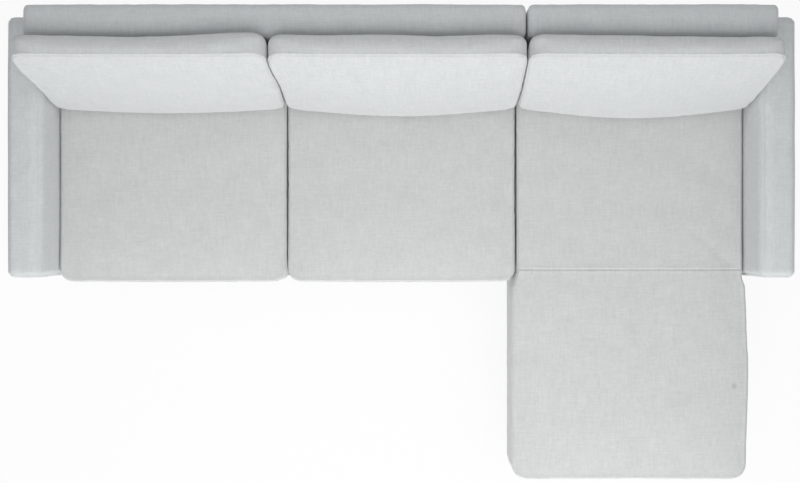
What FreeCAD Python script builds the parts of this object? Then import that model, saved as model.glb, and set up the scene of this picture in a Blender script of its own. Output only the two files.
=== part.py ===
import FreeCAD, Part

import os
import re

import Sketcher
from FreeCAD import Placement, Rotation, Vector

# A sectional sofa in two units that stand side by side: a two-seat unit with the left arm,
# and a chaise unit with the right arm. Left and right are as seen from the front.
# X runs along the back, +Y points at the back, and Z = 0 is the floor.
# The origin is on the floor, under the middle of the overall width and depth.

# Driving dimensions, in millimetres
sizes = {
    # Outline of the two units
    "seat_bay": 764,  # width of one seat
    "arm_width": 114,
    "arm_height": 620,  # top of the arms above the floor
    "body_depth": 838,  # front of an arm to the back of the sofa
    "chaise_reach": 662,  # how far the chaise base stands out in front of the arms
    "back_height": 790,  # top of the upholstered back above the floor
    "back_top_depth": 104,
    "back_low_depth": 150,  # depth of the back where it meets the seat
    "unit_gap": 4,  # between the two units
    # Base of each unit
    "leg_height": 126,
    "leg_plate": 3,
    "dust_sheet": 1,
    "rail_height": 160,
    "rail_wood": 28,  # thickness of the seat rails
    "block_side": 68,  # corner blocks
    "block_height": 45,
    "centre_drop": 35,  # the centre rail stays this far under the springs
    "border_corner": 5,  # rounding of the border's upright edges
    # Upholstery
    "cover_cloth": 2,
    "arm_side_pad": 10,
    "arm_end_pad": 12,
    "arm_top_pad": 24,
    "arm_top_round": 36,
    "arm_end_round": 16,
    "back_front_pad": 20,
    "back_rear_pad": 10,
    "back_top_pad": 20,
    "back_round": 18,
    "back_end_gap": 0.3,  # between the back and the arm beside it
    "trim_over": 40,  # soft shapes are made this much too long, then trimmed
    # Arm frame
    "arm_board": 3,  # side boards
    "arm_post": 60,
    "arm_foot_rail": 45,
    "arm_top_rail": 30,
    # Back frame
    "upright_wood": 25,
    "back_top_rail": 25,
    "back_straps": 3,
    "strap_width": 60,
    "strap_cloth": 2,
    "strap_first": 55,  # lower edge of the first strap above the deck
    "strap_pitch": 130,
    # Springs and deck
    "springs_per_seat": 5,
    "spring_wire": 3.8,
    "spring_pitch": 24,
    "spring_leg": 24,
    "clip_height": 7,
    "clip_width": 14,
    "clip_depth": 12,
    "clip_play": 0.2,
    "deck_pad": 12,
    # Loose cushions
    "rest_gap": 0.3,  # under a cushion that lies on another piece
    "side_gap": 1.5,  # beside a cushion
    "core_gap": 0.3,  # between a cover and its filling
    "seat_thick": 149,
    "seat_round": 34,
    "seat_front_corner": 50,
    "seat_rear_corner": 36,
    "cushion_nose": 20,  # how far a seat cushion stands out in front
    "chaise_ear": 24,  # how far the chaise cushion swells past its base on each side
    "ear_slope": 60,
    "pillow_height": 408,
    "pillow_low_depth": 165,
    "pillow_belly_depth": 150,
    "pillow_top_depth": 74,
    "pillow_belly_height": 150,
    "pillow_gap": 1,  # between a back cushion and the back
    "pillow_round": 28,
    # Legs
    "leg_top_radius": 25,
    "leg_foot_radius": 17,
    "glide_radius": 15,
    "glide_disc": 4,
    "glide_pin_radius": 3,
    "glide_pin": 15,
    "plate_side": 64,
    "leg_inset": 57,  # from the arm's outer face to the middle of its legs
    "hanger_radius": 4,
    "hanger_in_leg": 30,
    "hanger_in_wood": 24,
    "screw_radius": 2.25,
    "screw_reach": 24,
    "screw_offset": 24,
    "screw_head_radius": 4.4,
    "screw_head": 2.4,
    "drill_play": 0.05,
    # Bolts that hold the arms and the back
    "bolt_radius": 4,
    "bolt_head_radius": 7,
    "bolt_head": 5,
    "bolt_play": 0.4,
    "nut_radius": 6,
    "nut_reach": 20,
    "bolt_inset": 60,
    "bolt_low": 70,
    "bolt_high": 125,
    # Connectors between the units
    "connector_width": 80,
    "connector_jaw": 40,
    "connector_steel": 2.5,
    "connector_slot": 3.5,
    "connector_reach": 70,
    "connector_front": 190,  # from the front of the arms to the first connector
    "connector_spacing": 400,
    "tongue_play": 3,  # between a tongue's tip and its socket's heel
    "tongue_side_play": 1,
}

# Places worked out from the driving dimensions
places = {
    "arm_in": "1.5 * seat_bay",
    "half_width": "arm_in + arm_width",
    "split": "seat_bay / 2",
    "rear": "(body_depth + chaise_reach + cushion_nose) / 2",
    "front": "rear - body_depth",
    "chaise_front": "front - chaise_reach",
    "base": "leg_height + leg_plate + dust_sheet",
    "rail_top": "base + rail_height",
    "spring_level": "rail_top + spring_wire / 2 + (clip_height - spring_wire) / 2",
    "deck_low": "rail_top + clip_height",
    "deck_top": "deck_low + deck_pad",
    "seat_low": "deck_top + rest_gap",
    "seat_top": "seat_low + seat_thick",
    "pillow_low": "seat_top + rest_gap",
    "back_lean": "(back_low_depth - back_top_depth) / (back_height - deck_top)",
    "back_foot": "rear - back_low_depth",
    "soft_front": "cover_cloth + back_front_pad + strap_cloth",
    "upright_front": "back_foot + soft_front",
    "upright_rear": "rear - cover_cloth - back_rear_pad",
    "upright_top": "back_height - cover_cloth - back_top_pad - back_top_rail",
    "frame_top": "upright_top + back_top_rail",
    "rear_rail_in": "rear - cover_cloth - rail_wood",
    "sofa_left": "-arm_in",
    "sofa_right": "split - unit_gap / 2",
    "chaise_left": "split + unit_gap / 2",
    "chaise_right": "arm_in",
}

WORD = re.compile(r"[A-Za-z_]\w*")


def formula(text):
    """The FreeCAD expression for a text that uses the names in sizes and places."""

    def full(match):
        word = match.group()
        if word in places:
            return "(" + formula(places[word]) + ")"
        return "Sizes." + word if word in sizes else word

    return WORD.sub(full, text)


def amount(text):
    """What such a text comes to, in millimetres."""
    return float(sheet.evalExpression(formula(text)))


doc = FreeCAD.newDocument("SectionalSofa")
sheet = doc.addObject("Spreadsheet::Sheet", "Sizes")
for row, (alias, value) in enumerate(sizes.items(), 1):
    sheet.set(f"A{row}", alias)
    sheet.set(f"B{row}", str(value))
    sheet.setAlias(f"B{row}", alias)
doc.recompute()

nodes = []


# Building blocks


def bind(thing, **formulas):
    for prop, text in formulas.items():
        thing.setExpression(prop.replace("__", "."), formula(text))
    return thing


def block(name, x, y, z):
    """A plain block between a low and a high place on each axis."""
    box = doc.addObject("Part::Box", name)
    for span, size, axis in ((x, "Length", "x"), (y, "Width", "y"), (z, "Height", "z")):
        low, high = span
        bind(box, **{size: f"({high}) - ({low})", f"Placement__Base__{axis}": low})
    return box


def rod(name, start, along, length, radius):
    """A round bar from its low end, along X, Y or Z."""
    bar = doc.addObject("Part::Cylinder", name)
    run = Vector(*(float(axis == along) for axis in "XYZ"))
    bar.Placement = Placement(Vector(), Rotation(Vector(0, 0, 1), run))
    for place, axis in zip(start, "xyz"):
        bind(bar, **{f"Placement__Base__{axis}": place})
    return bind(bar, Height=length, Radius=radius)


def group(name, pieces):
    made = doc.addObject("Part::Compound", name)
    made.Links = pieces
    return made


def joined(name, pieces):
    made = doc.addObject("Part::MultiFuse", name)
    made.Shapes = pieces
    made.Refine = True
    return made


def without(name, base, *tools):
    """The base less each tool."""
    for number, tool in enumerate(tools, 1):
        cut = doc.addObject("Part::Cut", name if number == len(tools) else f"{name}_cut_{number}")
        cut.Base, cut.Tool = base, tool
        base = cut
    return base


def rounded(name, base, radius_of, inset="0"):
    """The base with each edge rounded by what radius_of gives for it, a formula or None, less the inset."""
    doc.recompute()
    made = doc.addObject("Part::Fillet", name)
    made.Base = base
    edges = []
    for number, edge in enumerate(base.Shape.Edges, 1):
        wanted = radius_of(edge)
        if wanted:
            radius = amount(f"{wanted} - ({inset})")
            edges.append((number, radius, radius))
    made.Edges = edges
    return made


def direction(edge):
    """The letter of the axis that a straight edge runs along, or a dash."""
    run = edge.tangentAt(edge.FirstParameter)
    return next((axis for axis, part in zip("XYZ", run) if abs(part) > 0.999), "-")


def sketch_on(body, plane):
    sketch = body.newObject("Sketcher::SketchObject", body.Name + "_outline")
    support = next(item for item in body.Origin.OriginFeatures if item.Role == plane + "_Plane")
    sketch.AttachmentSupport = [(support, "")]
    sketch.MapMode = "FlatFace"
    return sketch


def measure(sketch, text, kind, *where):
    """Adds a dimension to a sketch and binds it to its formula."""
    place = sketch.addConstraint(Sketcher.Constraint(kind, *where, amount(text)))
    sketch.setExpression(f"Constraints[{place}]", formula(text))


def closed_line(sketch, corners, construction=False):
    """Draws straight lines from corner to corner and back to the first, and gives the first one's number."""
    first = sketch.GeometryCount
    following = corners[1:] + corners[:1]
    for start, end in zip(corners, following):
        sketch.addGeometry(Part.LineSegment(start, end), construction)
    for i in range(len(corners)):
        after = first + (i + 1) % len(corners)
        sketch.addConstraint(Sketcher.Constraint("Coincident", first + i, 2, after, 1))
    return first


def outline_body(name, plane, points, start, length, inset=""):
    """A body padded from an outline of corner places on its YZ or XY plane.

    With an inset, the body is smaller by that much on every side.
    """
    body = doc.addObject("PartDesign::Body", name)
    sketch = sketch_on(body, plane)
    corners = [Vector(amount(a), amount(b), 0) for a, b in points]
    closed_line(sketch, corners, bool(inset))
    for i, (across, up) in enumerate(points):
        measure(sketch, across, "DistanceX", -1, 1, i, 1)
        measure(sketch, up, "DistanceY", -1, 1, i, 1)
    if inset:
        middle = sum(corners, Vector()) / len(corners)
        nearer = [corner + (middle - corner).normalize() * amount(inset) for corner in corners]
        first = closed_line(sketch, nearer)
        for i in range(len(corners)):
            for beside in (i - 1) % len(corners), i:
                measure(sketch, inset, "Distance", first + i, 1, beside)
        start, length = f"{start} + {inset}", f"{length} - 2 * ({inset})"
    pad = body.newObject("PartDesign::Pad", name + "_pad")
    pad.Profile = sketch
    bind(pad, Length=length)
    bind(body, **{"Placement__Base__x" if plane == "YZ" else "Placement__Base__z": start})
    return body


def node(piece):
    """Marks a piece as one of the sub-parts that are written out, under its label."""
    nodes.append(piece)
    return piece


# Bolts, screws and legs


def through_bolt(name, face, outwards, y, z, grip):
    """A bolt along X with its threaded insert, and the hole that the two need.

    Its head lies on the face, and the insert starts at the end of the grip.
    """
    if outwards > 0:
        shank_x, head_x, nut_x = face, f"{face} - bolt_head", f"{face} + {grip}"
    else:
        shank_x = nut_x = f"{face} - ({grip}) - nut_reach"
        head_x = face
    reach = f"{grip} + nut_reach"
    shank = rod(name + "_shank", (shank_x, y, z), "X", reach, "bolt_radius")
    head = rod(name + "_head", (head_x, y, z), "X", "bolt_head", "bolt_head_radius")
    nut = rod(name + "_nut_body", (nut_x, y, z), "X", "nut_reach", "nut_radius")
    thread = rod(name + "_nut_bore", (nut_x, y, z), "X", "nut_reach", "bolt_radius + drill_play")
    pocket = rod(name + "_pocket", (nut_x, y, z), "X", "nut_reach", "nut_radius + drill_play")
    hole = rod(name + "_hole", (shank_x, y, z), "X", reach, "bolt_radius + bolt_play")
    bolt = joined(name + "_bolt", [shank, head])
    return [bolt, without(name + "_nut", nut, thread)], [hole, pocket]


def leg_fixing(name, x, y):
    """A leg's plate, hanger bolt and four screws, and the holes that they need."""
    half = "plate_side / 2"
    plate = block(
        name + "_plate_blank",
        (f"{x} - {half}", f"{x} + {half}"),
        (f"{y} - {half}", f"{y} + {half}"),
        ("leg_height", "leg_height + leg_plate"),
    )
    hanger_start = "leg_height - hanger_in_leg"
    hanger_reach = "hanger_in_leg + leg_plate + dust_sheet + hanger_in_wood"
    hanger = rod(name + "_hanger", (x, y, hanger_start), "Z", hanger_reach, "hanger_radius")
    bore = "hanger_radius + drill_play"
    holes = [rod(name + "_hanger_hole", (x, y, hanger_start), "Z", hanger_reach, bore)]
    screws = []
    for number, (dx, dy) in enumerate(((-1, -1), (-1, 1), (1, -1), (1, 1)), 1):
        at = (f"{x} + {dx} * screw_offset", f"{y} + {dy} * screw_offset")
        label = f"{name}_screw_{number}"
        shank = rod(label + "_shank", (*at, "leg_height"), "Z", "screw_reach", "screw_radius")
        head = rod(label + "_head", (*at, "leg_height - screw_head"), "Z", "screw_head", "screw_head_radius")
        screws.append(joined(label, [shank, head]))
        bore = "screw_radius + drill_play"
        holes.append(rod(label + "_hole", (*at, "leg_height"), "Z", "screw_reach", bore))
    drills = group(name + "_drills", holes)
    return [without(name + "_plate", plate, drills), hanger, *screws], drills


def leg(name, x, y):
    """A turned, tapered leg with a hole at the top for its hanger bolt and one below for its glide."""
    body = doc.addObject("PartDesign::Body", name)
    sketch = sketch_on(body, "XZ")
    bore, pin = "hanger_radius + drill_play", "glide_pin_radius + drill_play"
    points = [
        (bore, "leg_height"),
        ("leg_top_radius", "leg_height"),
        ("leg_foot_radius", "glide_disc"),
        (pin, "glide_disc"),
        (pin, "glide_disc + glide_pin"),
        ("0", "glide_disc + glide_pin"),
        ("0", "leg_height - hanger_in_leg"),
        (bore, "leg_height - hanger_in_leg"),
    ]
    closed_line(sketch, [Vector(amount(a), amount(b), 0) for a, b in points])
    for i, (out, up) in enumerate(points):
        if out == "0":
            sketch.addConstraint(Sketcher.Constraint("PointOnObject", i, 1, -2))
        else:
            measure(sketch, out, "DistanceX", -1, 1, i, 1)
        measure(sketch, up, "DistanceY", -1, 1, i, 1)
    turned = body.newObject("PartDesign::Revolution", name + "_turned")
    turned.Profile = sketch
    turned.ReferenceAxis = (sketch, ["V_Axis"])
    turned.Angle = 360
    return bind(body, Placement__Base__x=x, Placement__Base__y=y)


def glide(name, x, y):
    """The nylon disc that a leg stands on, with its pin."""
    disc = rod(name + "_disc", (x, y, "0"), "Z", "glide_disc", "glide_radius")
    pin = rod(name + "_pin", (x, y, "glide_disc"), "Z", "glide_pin", "glide_pin_radius")
    return joined(name, [disc, pin])


# Springs


def zigzag(x, y_low, y_high, z):
    """A sinuous spring's wire: straight legs along X, joined by half turns."""
    turns = max(2, round((y_high - y_low) / amount("spring_pitch")))
    radius = (y_high - y_low) / turns / 2
    half = amount("spring_leg") / 2
    wire = amount("spring_wire") / 2
    path = []
    for i in range(turns + 1):
        side = 1 if i % 2 == 0 else -1
        y = y_low + 2 * radius * i
        start, end = Vector(x - side * half, y, z), Vector(x + side * half, y, z)
        path.append(Part.LineSegment(start, end).toShape())
        if i < turns:
            crest = Vector(x + side * (half + radius), y + radius, z)
            path.append(Part.Arc(end, crest, Vector(x + side * half, y + 2 * radius, z)).toShape())
    ring = Part.Wire([Part.Circle(Vector(x - half, y_low, z), Vector(1, 0, 0), wire).toShape()])
    return Part.Wire(path).makePipeShell([ring], True, False)


def spring_bay(unit, bay, x_low, y_low, y_high):
    """The springs across one seat's width, as shapes, and the clips that hold their ends."""
    ends, shapes = [], []
    for i in range(round(amount("springs_per_seat"))):
        x = f"{x_low} + {i + 0.5} * seat_bay / springs_per_seat"
        shapes.append(zigzag(amount(x), amount(y_low), amount(y_high), amount("spring_level")))
        for end, y in (("front", y_low), ("rear", y_high)):
            label = f"{unit}_clip_{bay}_{i + 1}_{end}"
            body = block(
                label + "_body",
                (f"{x} - clip_width / 2", f"{x} + clip_width / 2"),
                (f"{y} - clip_depth / 2", f"{y} + clip_depth / 2"),
                ("rail_top", "deck_low"),
            )
            eye = rod(
                label + "_eye",
                (f"{x} - clip_width / 2", y, "spring_level"),
                "X",
                "clip_width",
                "spring_wire / 2 + clip_play",
            )
            ends.append(without(label, body, eye))
    return shapes, ends


# Upholstered shells


def upholstery(name, skin, lining, foot, frame, drills):
    """A cloth cover and the foam under it, round a frame's envelope and open underneath."""
    reach = "half_width + trim_over"
    below = block(
        name + "_trim",
        (f"-({reach})", reach),
        ("chaise_front", f"rear + trim_over"),
        (f"{foot} - 2 * trim_over", foot),
    )
    node(without(name + "_cover", skin, lining, below, drills))
    node(without(name + "_padding", lining, frame, below, drills))


def arm(name, x_low, x_high, drills):
    """An arm: a frame of posts, rails and side boards, foam, and a cloth cover."""

    def radius(edge):
        if direction(edge) != "Z" and edge.BoundBox.Center.z < amount("base"):
            return None
        return "arm_top_round" if direction(edge) == "Y" else "arm_end_round"

    layers = []
    for label, cloth in (("skin", "0"), ("lining", "cover_cloth")):
        blank = block(
            f"{name}_{label}_blank",
            (f"{x_low} + {cloth}", f"{x_high} - {cloth}"),
            (f"front + {cloth}", f"rear - {cloth}"),
            ("base - trim_over", f"arm_height - {cloth}"),
        )
        layers.append(rounded(f"{name}_{label}", blank, radius, cloth))
    inset = "(cover_cloth + arm_side_pad)"
    x_in, x_out = f"{x_low} + {inset}", f"{x_high} - {inset}"
    y_in, y_out = "front + cover_cloth + arm_end_pad", "rear - cover_cloth - arm_end_pad"
    top_in = "arm_height - cover_cloth - arm_top_pad"
    core = block(name + "_core", (x_in, x_out), (y_in, y_out), ("base - 2 * trim_over", top_in))
    upholstery(name, *layers, "base", core, drills)
    wood_x = (f"{x_in} + arm_board", f"{x_out} - arm_board")
    inner_y = (f"{y_in} + arm_post", f"{y_out} - arm_post")
    pieces = [
        block(name + "_front_post", wood_x, (y_in, f"{y_in} + arm_post"), ("base", top_in)),
        block(name + "_rear_post", wood_x, (f"{y_out} - arm_post", y_out), ("base", top_in)),
        block(name + "_foot_rail", wood_x, inner_y, ("base", "base + arm_foot_rail")),
        block(name + "_top_rail", wood_x, inner_y, (f"{top_in} - arm_top_rail", top_in)),
        block(name + "_outer_board", (x_in, f"{x_in} + arm_board"), (y_in, y_out), ("base", top_in)),
        block(name + "_inner_board", (f"{x_out} - arm_board", x_out), (y_in, y_out), ("base", top_in)),
    ]
    node(without(name + "_frame", group(name + "_boards", pieces), drills))


def lean_front(z, forward="0"):
    """The front of the back's uprights at a height, or a place in front of it."""
    return f"upright_front + back_lean * ({z} - deck_top) - ({forward})"


def back(unit, x_low, x_high, upright_places, drills):
    """A unit's back: plywood uprights, sills and a top rail, elastic straps, foam and a cover."""
    profile = [
        ("rear", "deck_top - trim_over"),
        ("rear", "back_height"),
        ("rear - back_top_depth", "back_height"),
        ("back_foot - back_lean * trim_over", "deck_top - trim_over"),
    ]

    def radius(edge):
        return "back_round" if edge.BoundBox.Center.z > amount("deck_top") else None

    layers = []
    for label, inset in (("skin", ""), ("lining", "cover_cloth")):
        blank = outline_body(
            f"{unit}_back_{label}_blank", "YZ", profile, x_low, f"{x_high} - ({x_low})", inset
        )
        layers.append(rounded(f"{unit}_back_{label}", blank, radius, inset or "0"))
    inner = (f"{upright_places[0]}", f"{upright_places[-1]} + upright_wood")
    envelope = outline_body(
        f"{unit}_back_core",
        "YZ",
        [
            ("upright_rear", "deck_top - 2 * trim_over"),
            ("upright_rear", "frame_top"),
            (lean_front("frame_top", "strap_cloth"), "frame_top"),
            (lean_front("(deck_top - 2 * trim_over)", "strap_cloth"), "deck_top - 2 * trim_over"),
        ],
        inner[0],
        f"{inner[1]} - ({inner[0]})",
    )
    upholstery(f"{unit}_back", *layers, "deck_top", envelope, drills)
    pieces = []
    for number, x in enumerate(upright_places, 1):
        profile = [
            ("upright_front", "base + block_height"),
            ("upright_front", "deck_top"),
            (lean_front("upright_top"), "upright_top"),
            ("upright_rear", "upright_top"),
            ("upright_rear", "rail_top"),
            ("rear_rail_in", "rail_top"),
            ("rear_rail_in", "base + block_height"),
        ]
        pieces.append(outline_body(f"{unit}_upright_{number}", "YZ", profile, x, "upright_wood"))
    for number, (before, after) in enumerate(zip(upright_places, upright_places[1:]), 1):
        span = (f"{before} + upright_wood", after)
        depth = ("upright_front", "upright_rear")
        pieces.append(block(f"{unit}_back_sill_{number}", span, depth, ("rail_top", "deck_top")))
    top = (lean_front("frame_top"), "upright_rear")
    pieces.append(block(f"{unit}_back_top_rail", inner, top, ("upright_top", "frame_top")))
    node(without(f"{unit}_back_frame", group(f"{unit}_back_boards", pieces), drills))
    straps = []
    for number in range(round(amount("back_straps"))):
        low = f"deck_top + strap_first + {number} * strap_pitch"
        high = f"{low} + strap_width"
        outline = [
            (lean_front(low), low),
            (lean_front(high), high),
            (lean_front(high, "strap_cloth"), high),
            (lean_front(low, "strap_cloth"), low),
        ]
        label = f"{unit}_back_strap_{number + 1}"
        straps.append(outline_body(label, "YZ", outline, inner[0], f"{inner[1]} - ({inner[0]})"))
    node(group(f"{unit}_back_webbing", straps))


# Base of a unit


def seat_box(unit, x_low, x_high, y_low, arm_span, cross_rail, drills, leg_drills):
    """A unit's seat box: rails, braces, the cloth border, the deck and the dust cover."""
    in_low, in_high = f"{x_low} + cover_cloth", f"{x_high} - cover_cloth"
    y_in, y_out = f"{y_low} + cover_cloth", "rear - cover_cloth"
    side_low = (in_low, f"{in_low} + rail_wood")
    side_high = (f"{in_high} - rail_wood", in_high)
    between_y = (f"{y_in} + rail_wood", "rear_rail_in")
    height = ("base", "rail_top")
    node(block(f"{unit}_front_rail", (in_low, in_high), (y_in, f"{y_in} + rail_wood"), height))
    node(block(f"{unit}_rear_rail", (in_low, in_high), ("rear_rail_in", y_out), height))
    sides = [
        block(f"{unit}_side_rail_left", side_low, between_y, height),
        block(f"{unit}_side_rail_right", side_high, between_y, height),
    ]
    node(without(f"{unit}_side_rails", group(f"{unit}_side_boards", sides), drills, leg_drills))

    inner = (side_low[1], side_high[0])
    braces = [
        block(f"{unit}_spring_rail", inner, ("upright_front - rail_wood", "upright_front"), height),
        block(f"{unit}_cross_rail", *cross_rail),
    ]
    corner_x = ((inner[0], f"{inner[0]} + block_side"), (f"{inner[1]} - block_side", inner[1]))
    corner_y = (
        (between_y[0], f"{between_y[0]} + block_side"),
        (f"{between_y[1]} - block_side", between_y[1]),
    )
    block_height = ("base", "base + block_height")
    for side, x in zip(("left", "right"), corner_x):
        for end, y in zip(("front", "rear"), corner_y):
            braces.append(block(f"{unit}_corner_{end}_{side}", x, y, block_height))
    node(without(f"{unit}_braces", group(f"{unit}_brace_boards", braces), leg_drills))

    band = block(f"{unit}_border_blank", (x_low, x_high), (y_low, "rear"), ("base", "deck_top"))
    soft = rounded(
        f"{unit}_border_skin", band, lambda edge: "border_corner" if direction(edge) == "Z" else None
    )
    inside = block(f"{unit}_border_inside", (in_low, in_high), (y_in, y_out), ("base", "deck_top"))
    node(without(f"{unit}_border_cover", soft, inside, drills))

    node(block(f"{unit}_deck", (in_low, in_high), (y_in, "upright_front"), ("deck_low", "deck_top")))

    under = ("base - dust_sheet", "base")
    sheet_parts = [
        block(f"{unit}_dust_seat", (x_low, x_high), (y_low, "rear"), under),
        block(f"{unit}_dust_arm", arm_span, ("front", "rear"), under),
    ]
    node(without(f"{unit}_dust_cover", joined(f"{unit}_dust_sheet", sheet_parts), leg_drills))


# Loose cushions


def cushion(name, plane, points, start, length, radius_of):
    """A cloth cover round a filling. Both are closed, and the filling lies just inside the cover."""
    layers = []
    for label, inset in (("skin", ""), ("cavity", "cover_cloth"), ("core", "cover_cloth + core_gap")):
        blank = outline_body(f"{name}_{label}_blank", plane, points, start, length, inset)
        title = f"{name}_{label}"
        layers.append(rounded(title, blank, radius_of, inset or "0"))
    skin, cavity, core = layers
    node(without(name + "_cover", skin, cavity))
    node(core)


def seat_edges(rear_corners_from):
    """The rounding of a seat cushion: its rear corners lie behind the given place."""

    def radius(edge):
        place = edge.BoundBox.Center
        if direction(edge) != "Z":
            return "seat_round"
        if place.y > amount(rear_corners_from):
            return "seat_rear_corner"
        return "seat_front_corner"

    return radius


def seat_cushion(name, bay_low):
    """A boxed seat cushion, one bay wide, that stands a little out in front of the arms."""
    x_low, x_high = f"{bay_low} + side_gap", f"{bay_low} + seat_bay - side_gap"
    nose, tail = "front - cushion_nose", "back_foot - pillow_gap"
    points = [(x_low, nose), (x_high, nose), (x_high, tail), (x_low, tail)]
    cushion(name, "XY", points, "seat_low", "seat_thick", seat_edges("(front + back_foot) / 2"))


def chaise_cushion(name):
    """The long cushion, as wide as its bay beside the arm and a little wider in front of it."""
    x_low, x_high = "split + side_gap", "arm_in - side_gap"
    ear_low, ear_high = "chaise_left - chaise_ear", "chaise_right + chaise_ear"
    nose, tail = "chaise_front - cushion_nose", "back_foot - pillow_gap"
    ear_start = "front - side_gap"
    ear_end = f"{ear_start} - ear_slope"
    points = [
        (x_low, tail),
        (x_low, ear_start),
        (ear_low, ear_end),
        (ear_low, nose),
        (ear_high, nose),
        (ear_high, ear_end),
        (x_high, ear_start),
        (x_high, tail),
    ]
    corner_radius = seat_edges("(front + back_foot) / 2")

    def radius(edge):
        place = edge.BoundBox.Center.y
        beside_ear = amount(f"{ear_end} - ear_slope / 2") < place < amount("front + ear_slope / 2")
        return None if direction(edge) == "Z" and beside_ear else corner_radius(edge)

    cushion(name, "XY", points, "seat_low", "seat_thick", radius)


def back_cushion(name, bay_low):
    """A loose back cushion, deep at its belly and slim at its top, leaning on the back."""
    rest = "rear - back_low_depth - pillow_gap"

    def rear_at(height):
        return f"{rest} + back_lean * (pillow_low + {height} - deck_top)"

    points = [
        (f"{rear_at('0')} - pillow_low_depth", "pillow_low"),
        (rear_at("0"), "pillow_low"),
        (rear_at("pillow_height"), "pillow_low + pillow_height"),
        (f"{rear_at('pillow_height')} - pillow_top_depth", "pillow_low + pillow_height"),
        (f"{rear_at('pillow_belly_height')} - pillow_belly_depth", "pillow_low + pillow_belly_height"),
    ]
    width = "seat_bay - 2 * side_gap"
    cushion(name, "YZ", points, f"{bay_low} + side_gap", width, lambda edge: "pillow_round")


# Connectors between the units


def connector_places():
    return ["front + connector_front", "front + connector_front + connector_spacing"]


def connector_screws(name, x, y):
    """Two screws that hold a connector's plate under a side rail, and their holes."""
    screws, holes = [], []
    top = "base - dust_sheet"
    for number, side in enumerate((-1, 1), 1):
        at = (x, f"{y} + {side} * (connector_width + connector_jaw) / 4")
        label = f"{name}_screw_{number}"
        shank = rod(label + "_shank", (*at, f"{top} - connector_steel"), "Z", "screw_reach", "screw_radius")
        low = f"{top} - connector_steel - screw_head"
        head = rod(label + "_head", (*at, low), "Z", "screw_head", "screw_head_radius")
        screws.append(joined(label, [shank, head]))
        hole_start = (*at, f"{top} - connector_steel")
        holes.append(rod(label + "_hole", hole_start, "Z", "screw_reach", "screw_radius + drill_play"))
    return screws, holes


def connector_socket(number, y):
    """The two-seat unit's half: a plate with a flat jaw under it that opens towards the chaise."""
    name = f"socket_{number}"
    top = "base - dust_sheet"
    x_high = "sofa_right - cover_cloth"
    x_low = f"{x_high} - connector_reach"
    wide = (f"{y} - connector_width / 2", f"{y} + connector_width / 2")
    jaw = (f"{y} - connector_jaw / 2", f"{y} + connector_jaw / 2")
    low = f"{top} - 2 * connector_steel - connector_slot"
    parts = [
        block(name + "_plate", (f"{x_high} - rail_wood", x_high), wide, (f"{top} - connector_steel", top)),
        block(name + "_roof", (x_low, x_high), jaw, (f"{top} - connector_steel", top)),
        block(name + "_heel", (x_low, f"{x_low} + connector_steel"), jaw, (low, top)),
        block(name + "_lip", (x_low, x_high), jaw, (low, f"{low} + connector_steel")),
    ]
    screws, holes = connector_screws(name, f"{x_high} - rail_wood / 2", y)
    drills = group(name + "_drills", holes)
    return [without(name, joined(name + "_bent", parts), drills), *screws], drills


def connector_tongue(number, y):
    """The chaise's half: a plate whose tongue slides into the jaw."""
    name = f"tongue_{number}"
    top = "base - dust_sheet"
    x_low = "chaise_left + cover_cloth"
    tip = "sofa_right - cover_cloth - connector_reach + connector_steel + tongue_play"
    wide = (f"{y} - connector_width / 2", f"{y} + connector_width / 2")
    slim_half = "(connector_jaw / 2 - tongue_side_play)"
    slim = (f"{y} - {slim_half}", f"{y} + {slim_half}")
    middle = f"{top} - connector_steel - connector_slot / 2"
    blade = (f"{middle} - connector_steel / 2", f"{middle} + connector_steel / 2")
    parts = [
        block(name + "_plate", (x_low, f"{x_low} + rail_wood"), wide, (f"{top} - connector_steel", top)),
        block(name + "_step", (x_low, f"{x_low} + connector_steel"), slim, (blade[0], top)),
        block(name + "_blade", (tip, f"{x_low} + connector_steel"), slim, blade),
    ]
    screws, holes = connector_screws(name, f"{x_low} + rail_wood / 2", y)
    drills = group(name + "_drills", holes)
    return [without(name, joined(name + "_bent", parts), drills), *screws], drills


# One unit from its parts


def unit_bolts(unit, arm_face, arm_out, split_face):
    """The bolts that hold a unit's arm and its back to the side rails."""
    pieces, holes = [], []
    grip = "rail_wood + 2 * cover_cloth + arm_side_pad + arm_board"
    for level in ("low", "high"):
        z = f"base + bolt_{level}"
        rear_y, front_y = "rear - bolt_inset", "front + bolt_inset"
        wood = "+" if arm_out < 0 else "-"
        upright_face = f"{arm_face} {wood} upright_wood"
        wanted = (
            (f"{unit}_arm_front_{level}", arm_face, arm_out, front_y, grip),
            (f"{unit}_arm_rear_{level}", upright_face, arm_out, rear_y, f"upright_wood + {grip}"),
            (f"{unit}_end_{level}", split_face, -arm_out, rear_y, "upright_wood"),
        )
        for name, face, outwards, y, reach in wanted:
            made, drilled = through_bolt(name, face, outwards, y, z, reach)
            pieces += made
            holes += drilled
    node(group(f"{unit}_frame_bolts", pieces))
    return group(f"{unit}_bolt_drills", holes)


def unit_legs(unit, legs, extra_drills):
    """A unit's legs with their plates, bolts, screws and glides."""
    fixings, glides, drills = [], [], list(extra_drills)
    for place, x, y in legs:
        name = f"{unit}_leg_{place}"
        node(leg(name, x, y))
        pieces, holes = leg_fixing(name, x, y)
        fixings += pieces
        drills.append(holes)
        glides.append(glide(name + "_glide", x, y))
    node(group(f"{unit}_leg_fixings", fixings))
    node(group(f"{unit}_leg_glides", glides))
    return group(f"{unit}_leg_drills", drills)


def springs(unit, bays):
    wires, clips = [], []
    for number, (x, y_low, y_high) in enumerate(bays, 1):
        shapes, ends = spring_bay(unit, number, x, y_low, y_high)
        wires += shapes
        clips += ends
    made = doc.addObject("Part::Feature", f"{unit}_springs")
    made.Shape = Part.makeCompound(wires)
    node(made)
    node(group(f"{unit}_spring_clips", clips))


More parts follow.
